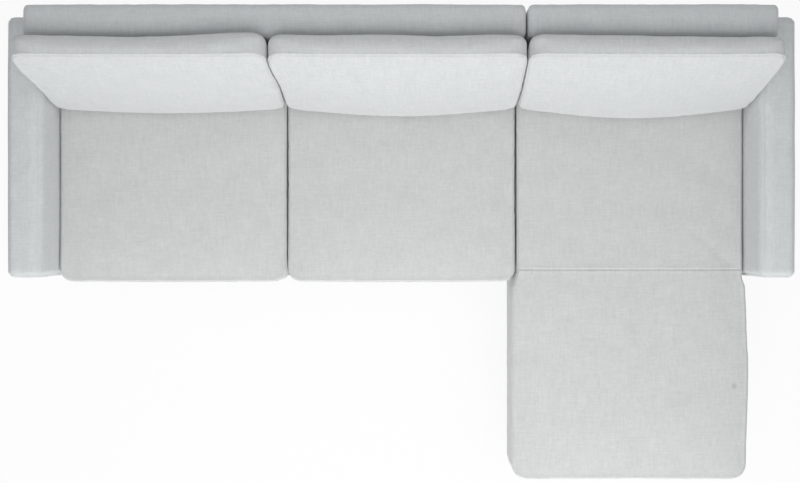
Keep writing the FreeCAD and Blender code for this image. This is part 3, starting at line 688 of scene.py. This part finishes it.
seatSwell = {
    "cap": 0.026,
    "cloth": {
        "uniform_pressure_force": 3.2,
        "tension_stiffness": 14,
        "shear_stiffness": 5.6,
        "bending_stiffness": 1.2,
    },
}


def camel(name):
    first, *others = name.split("_")
    return first + "".join(word.capitalize() for word in others)


def surfaceBox(name):
    low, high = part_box(name)
    return [(low[i], high[i]) for i in range(3)]


def finishForm(name, points, coarse, fine, relief, material, uvShift):
    # the piece on closer lines, with seams and wrinkles; gives its points and its top side
    shaped = refine(points, coarse, fine)
    numbers, flat, faces = blockForm(fine)
    shaped = shaped + pointNormals(shaped, faces) * relief(flat, shaped)[:, None]
    piece = meshObject(camel(name), shaped, faces, materials[material], blockUvs(numbers, fine, uvShift))
    dress(piece, name, (name + "_cover", name + "_core"))
    return shaped, blockSides(numbers)["top"][0]


def borderLoop(shaped, top, fine):
    # the points just inside the edge of a form's top side, in order round it
    inset = seamLook["stitchLine"]
    edges = ((line, edge) for line in fine[:2] for edge in (line[0] + inset, line[-1] - inset))
    i0, i1, j0, j1 = (nearest(line, edge) for line, edge in edges)
    loop = [top[i, j0] for i in range(i0, i1)] + [top[i1, j] for j in range(j0, j1)]
    loop += [top[i, j1] for i in range(i1, i0, -1)] + [top[i0, j] for j in range(j1, j0, -1)]
    return shaped[loop]


def creaseDepth(points, start, end, width, depth):
    a, b = np.array(start), np.array(end)
    along = np.clip((points[:, :2] - a) @ (b - a) / ((b - a) @ (b - a)), 0, 1)
    away = np.linalg.norm(points[:, :2] - (a + along[:, None] * (b - a)), axis=1)
    return depth * np.exp(-((away / width) ** 2)) * np.sin(math.pi * np.clip(along, 0.02, 0.98)) ** 0.5


def seatCushion(name, shape, material, bay, uvShift):
    fit = cushionFit
    bay = surfaceBox(bay)[0]
    _, (y0, y1), (z0, z1) = surfaceBox(name + "_cover")
    inset = shape["sideInset"]
    box = (
        (bay[0] + inset, bay[1] - inset),
        (y0 + shape["frontInset"], y1 - inset),
        (z0, z1 - shape["topDrop"]),
    )
    coarse = [evenLines(*span, shape["pitch"]) for span in box]
    _, flat, faces = blockForm(coarse)
    corner = shape["frontCorner"]
    points = rounded(flat, box, ((corner, corner), (corner, shape["rearCorner"]), (0, 0)))
    points = drawIn(points, flat, box, shape["drawIn"])
    frontness = np.clip(1 - (flat[:, 1] - box[1][0]) / shape["bowDepth"], 0, 1)
    points[:, 1] -= shape["frontBow"] * frontness * bowed(flat, box)
    middle, half = (bay[0] + bay[1]) / 2, (box[0][1] - box[0][0]) / 2
    for side, reach in zip((-1, 1), shape["reach"]):
        share = np.clip((points[:, 0] - middle) * side / half, 0, 1)
        points[:, 0] += side * smoothCurve(points[:, 1], reach) * share
    held = seamHold(flat, box, flat[:, 2] < z0 + 1e-6)
    points = inflate(name, points, faces, seatSwell, held)
    walls = []
    for side, edge, reach, bulge in zip((-1, 1), bay, shape["reach"], shape["bulge"]):
        out = smoothCurve(points[:, 1], reach)
        out += bulge * np.clip(out / shape["bulgeReach"], 0, 1) - shape["sideGap"]
        walls.append(edge + side * out)
    points[:, 0] = softLimit(points[:, 0], *walls, shape["sideGive"])
    points[:, 1] = softLimit(points[:, 1], y0 - fit["frontRoom"], y1 - fit["gap"], fit["give"])
    crown = fit["crownRise"] * smooth((fit["crownStart"] - points[:, 1]) / fit["crownLength"])
    points[:, 2] = softLimit(points[:, 2], z0, z1 - fit["topGap"] + crown, fit["topGive"])
    crossSeams, creases = (), ()
    if "crossSeam" in shape:
        crossSeams, creases = (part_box("right_arm_cover")[0][1] + shape["crossSeam"],), chaiseCreases
    fine = formLines(box, shape["finePitch"], (box[0], (*box[1], *crossSeams), box[2]))

    def relief(flat, shaped):
        upper = borderDistance(flat, box, "top")
        onTop = flat[:, 2] > box[2][1] - 1e-9
        waves = shape["wave"] * softNoise(shaped * (1, 1.6, 1), shape["waveLength"], uvShift)
        waves *= np.clip(upper / fit["seamCalm"], 0, 1) * (flat[:, 2] > z0 + 0.01)
        total = seamRelief(upper) + seamRelief(borderDistance(flat, box, "bottom")) + waves
        total += puckers(shaped, upper, uvShift)
        for seam in crossSeams:
            cross = np.where(onTop, np.abs(flat[:, 1] - seam), 1.0)
            total += shape["crossShare"] * (seamRelief(cross) + puckers(shaped, cross, uvShift))
        for crease in creases:
            total -= creaseDepth(shaped, *crease) * onTop
        return total

    shaped, top = finishForm(name, points, coarse, fine, relief, material, uvShift)
    for seam in crossSeams:
        row = nearest(fine[1], seam + seamLook["stitchLine"])
        rows["stitch"].append((name, shaped[top[:, row]], False))
    rows["stitch"].append((name, borderLoop(shaped, top, fine), True))


# A back cushion is deep at its belly and slim at its top, and leans on the sofa's back
pillowShape = {
    "pitch": 0.01215,
    "finePitch": 0.0075,
    "lean": 0.0956,
    "foot": 0.6225,  # y of its rear side at its lower edge
    "sideInset": 0.003,
    "endInset": 0.014,  # from its lower and upper edge to the seams
    "depths": ((0.0, 0.150), (0.10, 0.143), (0.20, 0.127), (0.30, 0.101), (0.40, 0.068)),  # height and depth
    "blockDepth": 0.11,
    "topCorner": 0.042,
    "lowCorner": 0.030,
    "rearRound": 0.040,
    "cornerBack": 0.006,  # how far the ends of its front stand back
    "bellyHeight": 0.36,  # the foot of its front curves forward up to there
    "leanStart": 0.628,  # just above the arms
    "leanHeight": 0.18,
    "sideBulge": 0.006,  # over an arm
    "rearRoom": 0.004,
    "headRoom": 0.006,  # more of it above the sofa's back
    "wave": 0.0022,
    "waveLength": 0.15,
    "ripple": 0.0012,
    "ripplePitch": 0.05,
}
pillowSwell = {
    "cap": 0.030,
    "cloth": {
        "uniform_pressure_force": 3.4,
        "tension_stiffness": 12,
        "shear_stiffness": 4.8,
        "bending_stiffness": 1.0,
    },
}
pillows = {
    "left_back_cushion": {
        "leans": (-0.025, -0.019),  # how far each side leans sideways above the arm's height
        "overArm": (1, 0),
        "rearLine": ((0, 0.001), (0.22, 0.0), (0.46, -0.007), (0.63, -0.001), (0.92, 0.009), (1, 0.009)),
        "bow": 0.010,  # how far the foot of its front curves forward
        "uvShift": 5.3,
    },
    "middle_back_cushion": {
        "leans": (-0.0215, 0.0),
        "overArm": (0, 0),
        "rearLine": ((0, 0.002), (0.25, -0.001), (0.4, 0.003), (0.66, -0.002), (0.86, 0.002), (1, 0.0)),
        "bow": 0.020,
        "uvShift": 8.9,
    },
    "right_back_cushion": {
        "leans": (-0.002, 0.010),
        "overArm": (0, 1),
        "rearLine": ((0, 0.004), (0.1, 0.004), (0.4, 0.0), (0.65, -0.004), (1, -0.005)),
        "bow": 0.027,
        "uvShift": 12.2,
    },
}


def aboveArm(points):
    return smooth((points[:, 2] - pillowShape["leanStart"]) / pillowShape["leanHeight"])


def backCushion(name, leans, overArm, rearLine, bow, uvShift):
    shape, gap = pillowShape, cushionFit["gap"]
    (x0, x1), _, (z0, z1) = surfaceBox(name + "_cover")
    box = (
        (x0 + shape["sideInset"], x1 - shape["sideInset"]),
        (shape["endInset"], z1 - z0 - shape["endInset"]),
        (0.0, shape["blockDepth"]),
    )
    coarse = [evenLines(*span, shape["pitch"]) for span in box]
    _, flat, faces = blockForm(coarse)
    top, low = shape["topCorner"], shape["lowCorner"]
    block = rounded(flat, box, ((top, top), (low, top), (shape["rearRound"], 0)))
    along, deep = (block[:, 0] - x0) / (x1 - x0), block[:, 2] / shape["blockDepth"]
    depth = np.interp(block[:, 1], *zip(*shape["depths"])) * deep
    rear = shape["foot"] + shape["lean"] * block[:, 1]
    shift = np.interp(along, *zip(*rearLine)) * smooth((block[:, 1] - 0.2) / 0.2) * (1 - deep)
    points = np.stack([block[:, 0], rear - depth + shift, z0 + block[:, 1]], 1)
    points[:, 0] += (leans[0] * (1 - along) + leans[1] * along) * aboveArm(points)
    across, front = bowed(flat, box), flat[:, 2] / shape["blockDepth"]
    footness = 1 - smooth((flat[:, 1] - 0.03) / shape["bellyHeight"])
    points[:, 1] -= bow * across**1.3 * footness * front
    points[:, 1] += shape["cornerBack"] * (1 - across**0.35) * front
    held = seamHold(flat, box, flat[:, 1] < box[1][0] + 1e-6)
    points = inflate(name, points, faces, pillowSwell, held)
    rising = aboveArm(points)
    left = leans[0] * rising - shape["sideBulge"] * rising * overArm[0]
    right = leans[1] * rising + shape["sideBulge"] * rising * overArm[1]
    points[:, 0] = softLimit(points[:, 0], x0 + gap + left, x1 - gap + right, 0.003)
    points[:, 2] = softLimit(points[:, 2], z0 + 0.0003, z1, 0.006)
    rear = shape["foot"] + shape["lean"] * (points[:, 2] - z0) + shape["rearRoom"]
    rear += shape["headRoom"] * smooth((points[:, 2] - 0.78) / 0.03)
    points[:, 1] = np.minimum(points[:, 1], rear)
    fine = formLines(box, shape["finePitch"], box)

    def relief(flat, shaped):
        edge = borderDistance(flat, box, "top")
        waves = shape["wave"] * softNoise(shaped, shape["waveLength"], uvShift)
        waves += shape["ripple"] * softNoise(shaped * (1.0, 1, 0.4), shape["ripplePitch"], uvShift + 3)
        waves *= np.clip(edge / cushionFit["seamCalm"], 0, 1) * (flat[:, 1] > box[1][0] + 0.01)
        total = seamRelief(edge) + seamRelief(borderDistance(flat, box, "bottom"))
        return total + puckers(shaped, edge, uvShift) * 1.3 + waves

    shaped, top = finishForm(name, points, coarse, fine, relief, "backFabric", uvShift)
    rows["stitch"].append((name, borderLoop(shaped, top, fine), True))


# Arms and backs: tight cloth over foam, with a seam inside the edge of each panel

armShape = {
    "pitch": 0.008,
    "swell": 0.003,
    "outerStand": 0.005,  # the outer side stands a little proud of the solid
    "innerRound": 0.040,
    "outerRound": 0.026,
    "topRound": 0.036,
    "endRound": 0.018,
    "panelSeam": 0.014,  # from the edges of the front and rear faces in to their seams
    "wave": 0.0016,
    "waveLength": 0.13,
}
backShape = {
    "pitch": 0.009,
    "swell": 0.002,
    "outerStand": 0.005,  # above the arm its end stands a little proud
    "armTop": 0.625,
    "standRise": 0.04,
    "lowDepth": 0.150,
    "topDepth": 0.104,
    "topRound": 0.018,
    "endRound": 0.016,
    "panelSeam": 0.016,  # from the top of the rear face down to its seam
    "wave": 0.0014,
    "waveLength": 0.15,
}


def faceSwell(points, box, amount):
    # a soft crown on each side of a block, nothing at its edges
    shares = []
    for low, high in box:
        t = np.clip((points[:, len(shares)] - low) / (high - low), 0, 1)
        shares.append(np.clip(4 * t * (1 - t), 0, 1) ** 0.35)
    return amount * np.maximum.reduce([shares[0] * shares[1], shares[1] * shares[2], shares[0] * shares[2]])


def tightCover(name, body, shape, points, box, fine, seam, room, uvShift):
    # the swell of each side, the seam and its puckers; the foot stays level, and x within its room
    numbers, flat, faces = blockForm(fine)
    swelling = faceSwell(flat, box, shape["swell"])
    swelling += shape["wave"] * softNoise(points, shape["waveLength"], uvShift)
    swelling *= flat[:, 2] >= box[2][0] + 1e-6
    swelling += seamRelief(seam) + puckers(points, seam, uvShift)
    foot = points[:, 2].min()
    points = points + pointNormals(points, faces) * swelling[:, None]
    points[:, 0] = np.clip(points[:, 0], *room)
    points[:, 2] = np.maximum(points[:, 2], foot)
    uvs = blockUvs(numbers, fine, uvShift)
    piece = meshObject(camel(name), points, faces, materials["shellFabric"], uvs)
    dress(piece, body, (name + "_cover", name + "_padding"))


def arm(name, body, outer, uvShift):
    # outer is -1 for the left arm and 1 for the right
    shape = armShape
    low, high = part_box(name + "_cover")
    swell, stand, inset = shape["swell"], shape["outerStand"], shape["panelSeam"]
    box = (
        (low[0] + swell - stand * (outer < 0), high[0] - swell + stand * (outer > 0)),
        (low[1] + swell, high[1] - swell),
        (low[2], high[2] - swell),
    )
    (x0, x1), (y0, y1), (_, z1) = box
    fine = formLines(box, shape["pitch"], ((x0 + inset, x1 - inset), (), (z1 - inset,)))
    _, flat, _ = blockForm(fine)
    sides = (shape["outerRound"], shape["innerRound"])[::-outer]
    points = rounded(flat, box, (sides, (shape["endRound"],) * 2, (0, shape["topRound"])))
    x, y, z = flat.T
    onEnd = (y < y0 + 1e-9) | (y > y1 - 1e-9)
    seam = np.where(onEnd, np.abs(np.minimum.reduce([x - x0, x1 - x, z1 - z]) - inset), 1.0)
    room = (-math.inf, high[0]) if outer < 0 else (low[0], math.inf)
    tightCover(name, body, shape, points, box, fine, seam, room, uvShift)


def sofaBack(name, body, outer, uvShift):
    # its front leans back from the deck to its top
    shape = backShape
    low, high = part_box(name + "_cover")
    swell, topDepth = shape["swell"], shape["topDepth"]
    height = high[2] - low[2] - swell
    box = ((low[0] + swell, high[0] - swell), (0.0, topDepth), (0.0, height))
    seamHeight = height - shape["panelSeam"]
    fine = formLines(box, shape["pitch"], ((), (), (seamHeight,)))
    _, flat, _ = blockForm(fine)
    rounds = ((shape["endRound"],) * 2, (shape["topRound"],) * 2, (0, shape["topRound"]))
    block = rounded(flat, box, rounds)
    depth = shape["lowDepth"] + (topDepth - shape["lowDepth"]) * block[:, 2] / height
    y = high[1] - swell - (1 - block[:, 1] / topDepth) * (depth - 2 * swell)
    above = smooth((low[2] + block[:, 2] - shape["armTop"]) / shape["standRise"])
    outwards = np.clip(outer * (block[:, 0] - sum(box[0]) / 2), 0, 1)
    block[:, 0] += outer * shape["outerStand"] * above * outwards
    points = np.stack([block[:, 0], y, low[2] + block[:, 2]], 1)
    seam = np.where(flat[:, 1] > topDepth - 1e-9, np.abs(seamHeight - flat[:, 2]), 1.0)
    stand = shape["outerStand"] + swell
    room = (low[0] - stand * (outer < 0), high[0] + stand * (outer > 0))
    tightCover(name, body, shape, points, box, fine, seam, room, uvShift)


# Cloth bands round the two seat boxes, each a closed ring of outer and inner wall

borderShape = {
    "pitch": 0.012,
    "levelPitch": 0.010,
    "corner": 0.006,
    "wall": 0.0015,
    "swell": 0.0012,
    "hem": 0.022,  # height of the turned-under hem
    "hemThickness": 0.0007,
    "hemGroove": 0.0010,
    "crease": 0.0006,
    "seamOverlap": 0.02,  # cloth that the ring's own seam takes up
    "edgeTurn": 0.004,
}


def ringPath(low, high, radius, pitch):
    # a rounded rectangle as points, outward normals and the length so far
    (x0, y0), (x1, y1) = np.array(low[:2]) + radius, np.array(high[:2]) - radius
    corners = np.array([(x1, y1), (x0, y1), (x0, y0), (x1, y0)])
    points, normals = [], []
    for number, corner in enumerate(corners):
        turn = np.radians(90 * number + np.arange(0, 91, 15))
        outwards = np.column_stack([np.cos(turn), np.sin(turn)])
        run = corners[(number + 1) % 4] - corner
        steps = max(2, round(np.linalg.norm(run) / pitch))
        shares = np.arange(1, steps)[:, None] / steps
        points += [corner + radius * outwards, corner + radius * outwards[-1] + run * shares]
        normals += [outwards, np.repeat(outwards[-1:], steps - 1, 0)]
    points = np.concatenate(points)
    lengths = np.linalg.norm(np.roll(points, -1, 0) - points, axis=1)
    return points, np.concatenate(normals), np.concatenate([[0], np.cumsum(lengths)])


def border(unit, body, uvShift):
    shape = borderShape
    low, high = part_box(unit + "_border_cover")
    path, normals, lengths = ringPath(low, high, shape["corner"], shape["pitch"])
    height, hem = high[2] - low[2], shape["hem"]
    levels = seamLines(0.0, height, shape["levelPitch"], (0.0, hem, height))
    t = levels / height
    outside = shape["swell"] * (4 * t * (1 - t)) ** 0.5 + shape["hemThickness"] * (levels < hem)
    outside -= shape["hemGroove"] * np.exp(-(((levels - hem) / 0.002) ** 2)) + 0.0004
    inside = np.full(len(levels), -shape["wall"] - 0.0003)
    out = np.concatenate([outside, inside])
    run = np.concatenate([levels, levels[::-1]])
    turns, count = len(path), len(out)
    flatPath = np.column_stack([path, np.zeros(turns)])
    crease = np.outer(shape["crease"] * softNoise(flatPath, 0.11, uvShift), np.arange(count) < len(levels))
    points = np.zeros((turns, count, 3))
    points[:, :, :2] = path[:, None] + normals[:, None] * (out + crease)[:, :, None]
    points[:, :, 2] = low[2] + run
    numbers = np.arange(turns * count).reshape(turns, count)
    after = np.roll(numbers, -1, 0)
    around = (numbers, after, np.roll(after, -1, 1), np.roll(numbers, -1, 1))
    faces = np.stack([n.ravel() for n in around], 1)
    following = np.roll(run, -1)
    along = np.stack([lengths[:-1], lengths[1:], lengths[1:], lengths[:-1]], 1)[:, None] + uvShift
    rising = np.stack([run, run, following, following], 1)[None]
    uvs = np.stack(np.broadcast_arrays(along, rising), 3)
    piece = meshObject(unit + "Border", points.reshape(-1, 3), faces, materials["shellFabric"], uvs)
    dress(piece, body, (unit + "_border_cover",))
    stitched = points[:, nearest(levels, hem - 0.0034)].copy()
    stitched[:, :2] += normals * 0.0002
    rows["stitch"].append((body, stitched, True))


# The padded deck under the seat cushions

deckShape = {
    "pitch": 0.014,
    "edge": 0.006,
    "crown": 0.002,
    "crownWidth": 0.06,
    "inset": 0.0006,
    "channel": 0.12,  # from its front back to the sewn line across it
    "ripple": 0.0006,
}


def deckPad(unit, body, uvShift):
    shape = deckShape
    box = surfaceBox(unit + "_deck")
    box = [(a + shape["inset"], b - shape["inset"]) for a, b in box[:2]] + [box[2]]
    channel = box[1][0] + shape["channel"]
    fine = formLines(box[:2], shape["pitch"], ((), (channel,))) + [evenLines(*box[2], 0.003)]
    numbers, flat, faces = blockForm(fine)
    edge = (shape["edge"],) * 2
    points = rounded(flat, box, (edge, edge, (0, shape["edge"])))
    onTop = flat[:, 2] > box[2][1] - 1e-9
    seam = np.where(onTop, np.abs(flat[:, 1] - channel), 1.0)
    drop = shape["crown"] * (1 - np.clip(borderDistance(flat, box, "top") / shape["crownWidth"], 0, 1))
    ripple = shape["ripple"] * softNoise(points, 0.06, uvShift)
    points[:, 2] += (np.minimum(seamRelief(seam), 0) - drop + np.minimum(ripple, 0)) * onTop
    uvs = blockUvs(numbers, fine, uvShift)
    piece = meshObject(unit + "Deck", points, faces, materials["deckCloth"], uvs)
    dress(piece, body, (unit + "_deck",))


# Black cloth stapled under each unit

dustShape = {"sag": 0.0026, "pitch": 0.02, "stapleInset": 0.014, "cornerCut": 0.009}


def splitLines(places, pitch):
    # even lines from each place to the next
    places = sorted(set(places))
    spans = [evenLines(a, b, pitch) for a, b in zip(places, places[1:]) if b - a > 1e-4]
    return np.unique(np.round(np.concatenate(spans), 6))


def dustCover(unit, body, armNode):
    shape = dustShape
    low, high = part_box(unit + "_dust_cover")
    seatLow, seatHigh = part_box(unit + "_border_cover")
    armLow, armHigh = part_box(armNode)
    xs = splitLines((low[0], high[0], seatLow[0], seatHigh[0]), shape["pitch"])
    ys = splitLines((low[1], armLow[1], high[1]), shape["pitch"])
    midX, midY = (xs[:-1] + xs[1:]) / 2, (ys[:-1] + ys[1:]) / 2
    cells = (midX[:, None] > seatLow[0]) & (midX[:, None] < seatHigh[0]) | (midY[None, :] > armLow[1])
    reach = (seatHigh[0] - seatLow[0], high[1] - low[1])
    sx, sy = np.clip((xs - seatLow[0]) / reach[0], 0, 1), np.clip((ys - low[1]) / reach[1], 0, 1)
    sag = shape["sag"] * np.outer(np.sin(math.pi * sx) ** 2, np.sin(math.pi * sy) ** 2)
    middle = (low[0] + high[0]) / 2, (armLow[1] + armHigh[1]) / 2
    numbers, points = {}, []
    for level, z in enumerate((low[2], high[2] - 0.0001)):
        for (i, x), (j, y) in ((a, b) for a in enumerate(xs) for b in enumerate(ys)):
            around = cells[max(i - 1, 0) : i + 1, max(j - 1, 0) : j + 1]
            if around.any():
                numbers[level, i, j] = len(points)
                # the arm is round at its corners, and the cloth is cut back to it
                atCorner = around.sum() == 1 and min(abs(x - low[0]), abs(x - high[0])) < 1e-4
                cut = shape["cornerCut"] * atCorner
                cutX, cutY = np.sign(middle[0] - x) * cut, np.sign(middle[1] - y) * cut
                points.append((x + cutX, y + cutY, z - sag[i, j]))
    faces = []
    steps = ((0, 0), (1, 0), (1, 1), (0, 1))  # a cell's corners in turn
    framed, beside = np.pad(cells, 1), ((1, 0), (2, 1), (1, 2), (0, 1))  # the cell across each edge
    for i, j in np.argwhere(cells):
        faces.append([numbers[0, i + a, j + b] for a, b in (steps[0], *steps[:0:-1])])
        faces.append([numbers[1, i + a, j + b] for a, b in steps])
        for side, (a, b) in enumerate(beside):
            if not framed[i + a, j + b]:
                start, end = ((i + a, j + b) for a, b in (steps[side], steps[(side + 1) % 4]))
                faces.append([numbers[0, *start], numbers[0, *end], numbers[1, *end], numbers[1, *start]])
    piece = meshObject(unit + "DustCover", points, faces, materials["dustCloth"])
    dress(piece, body, (unit + "_dust_cover",))
    flat = (high[0] - low[0], high[1] - low[1])
    area = reach[0] * reach[1] + (armHigh[0] - armLow[0]) * (armHigh[1] - armLow[1])
    area = min(area, flat[0] * flat[1])
    inset, z = shape["stapleInset"], low[2] - 0.0003
    (x0, y0), (x1, y1) = (low[0] + inset, low[1] + inset), (high[0] - inset, high[1] - inset)
    stepX, stepY = seatHigh[0] - inset, armLow[1] + inset
    standsOut = seatLow[1] < armLow[1] - 0.01  # the chaise does, in front of its arm
    front = [(stepX, y0), (stepX, stepY), (x1, stepY)] if standsOut else [(x1, y0)]
    outline = [(x0, y0), *front, (x1, y1), (x0, y1)]
    rows["staple"].append((body, [(x, y, z) for x, y in outline], True))


# What repeats along a path: stitches and staples

rowSizes = {
    "stitch": {"pitch": 0.0075, "length": 0.0052, "width": 0.0011, "height": 0.0009},
    "staple": {"pitch": 0.055, "length": 0.011, "width": 0.0012, "height": 0.0008},
}
rowFinish = {"stitch": ("thread", "cover_fabric"), "staple": ("steel", "steel")}  # material and slot


def rowTree(kind):
    tree = bpy.data.node_groups.new(kind + "Row", "GeometryNodeTree")
    face = tree.interface
    face.new_socket(name="Geometry", in_out="INPUT", socket_type="NodeSocketGeometry")
    for name in rowSizes[kind]:
        face.new_socket(name=name, in_out="INPUT", socket_type="NodeSocketFloat")
    face.new_socket(name="Geometry", in_out="OUTPUT", socket_type="NodeSocketGeometry")
    given = tree.nodes.new("NodeGroupInput").outputs
    line = put(tree, "GeometryNodeMeshToCurve", {0: given["Geometry"]}).outputs[0]
    points = put(tree, "GeometryNodeResampleCurve", {"Curve": line, "Length": given["pitch"]}, mode="LENGTH")
    if kind == "stitch":
        part = put(tree, "GeometryNodeMeshUVSphere", {"Segments": 6, "Rings": 4, "Radius": 0.5})
    else:
        part = put(tree, "GeometryNodeMeshCube", {"Size": (1.0, 1.0, 1.0)})
    size = put(tree, "ShaderNodeCombineXYZ", {0: given["length"], 1: given["width"], 2: given["height"]})
    sized = put(tree, "GeometryNodeTransform", {"Geometry": part.outputs[0], "Scale": size.outputs[0]})
    tangent = put(tree, "GeometryNodeInputTangent").outputs[0]
    turned = put(tree, "FunctionNodeAlignRotationToVector", {"Vector": tangent}, axis="X")
    placed = put(tree, "GeometryNodeInstanceOnPoints", {
        "Points": points.outputs[0], "Instance": sized.outputs[0], "Rotation": turned.outputs[0],
    })
    real = put(tree, "GeometryNodeRealizeInstances", {0: placed.outputs[0]})
    material = materials[rowFinish[kind][0]]
    finish = put(tree, "GeometryNodeSetMaterial", {0: real.outputs[0], "Material": material})
    tree.links.new(finish.outputs[0], tree.nodes.new("NodeGroupOutput").inputs[0])
    return tree


def repeatAlong(kind, body, tree):
    # one plain mesh of all the stitches or staples on a body
    points, edges = [], []
    for owner, path, closed in rows[kind]:
        if owner == body:
            first = len(points)
            points += [tuple(p) for p in path]
            edges += [(i, i + 1) for i in range(first, len(points) - 1)]
            if closed:
                edges.append((len(points) - 1, first))
    label = camel(f"{kind}_row_{body}")
    mesh = bpy.data.meshes.new(label + "Path")
    mesh.from_pydata(points, edges, [])
    guide = bpy.data.objects.new(label + "Path", mesh)
    scene.collection.objects.link(guide)
    modifier = guide.modifiers.new("row", "NODES")
    modifier.node_group = tree
    sockets = {s.name: s.identifier for s in tree.interface.items_tree if s.in_out == "INPUT"}
    for name, value in rowSizes[kind].items():
        modifier[sockets[name]] = value
    graph = bpy.context.evaluated_depsgraph_get()
    made = bpy.data.meshes.new_from_object(guide.evaluated_get(graph))
    bpy.data.objects.remove(guide)
    made.name = label
    made.shade_smooth()
    piece = bpy.data.objects.new(label, made)
    scene.collection.objects.link(piece)
    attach(piece, body)
    print(f"  {label}: {len(made.polygons)} faces")


# Finishes of the pieces that CAD made

nodeFinish = {
    "frameWood": ("_rail", "_rails", "_braces", "_frame"),
    "webbing": ("_webbing",),
    "foam": ("_padding", "_core", "_deck"),
    "steel": ("_springs", "_spring_clips", "_bolts", "_fixings", "_sockets", "_tongues"),
    "nylon": ("_glides",),
    "dustCloth": ("_dust_cover",),
    "shellFabric": ("_cover",),
}


def finishNodes():
    for name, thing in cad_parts.items():
        finish = next((f for f, ends in nodeFinish.items() if name.endswith(ends)), None)
        if "_leg_front_" in name or "_leg_rear_" in name:
            finish = "legWood"
        thing.data.materials.clear()
        thing.data.materials.append(materials[finish])


# The scene, stage by stage

makeCamera()
makeStudio()
print("camera, floor and light made")
materials = makeMaterials()
finishNodes()
print("materials made")
for name, facts in cushions.items():
    seatCushion(name, **facts)
print("seat cushions made")
for name, facts in pillows.items():
    backCushion(name, **facts)
print("back cushions made")
arm("left_arm", "sofa_unit", -1, 15.0)
arm("right_arm", "chaise_unit", 1, 18.0)
sofaBack("sofa_back", "sofa_unit", -1, 21.0)
sofaBack("chaise_back", "chaise_unit", 1, 24.0)
print("arms and backs made")
for unit, armNode in (("sofa", "left_arm_cover"), ("chaise", "right_arm_cover")):
    border(unit, unit + "_unit", 27.0)
    deckPad(unit, unit + "_unit", 30.0)
    dustCover(unit, unit + "_unit", armNode)
print("borders, decks and dust covers made")
for kind in rows:
    rowsTree = rowTree(kind)
    for body in sorted({row[0] for row in rows[kind]}):
        repeatAlong(kind, body, rowsTree)
print("stitches and staples made")
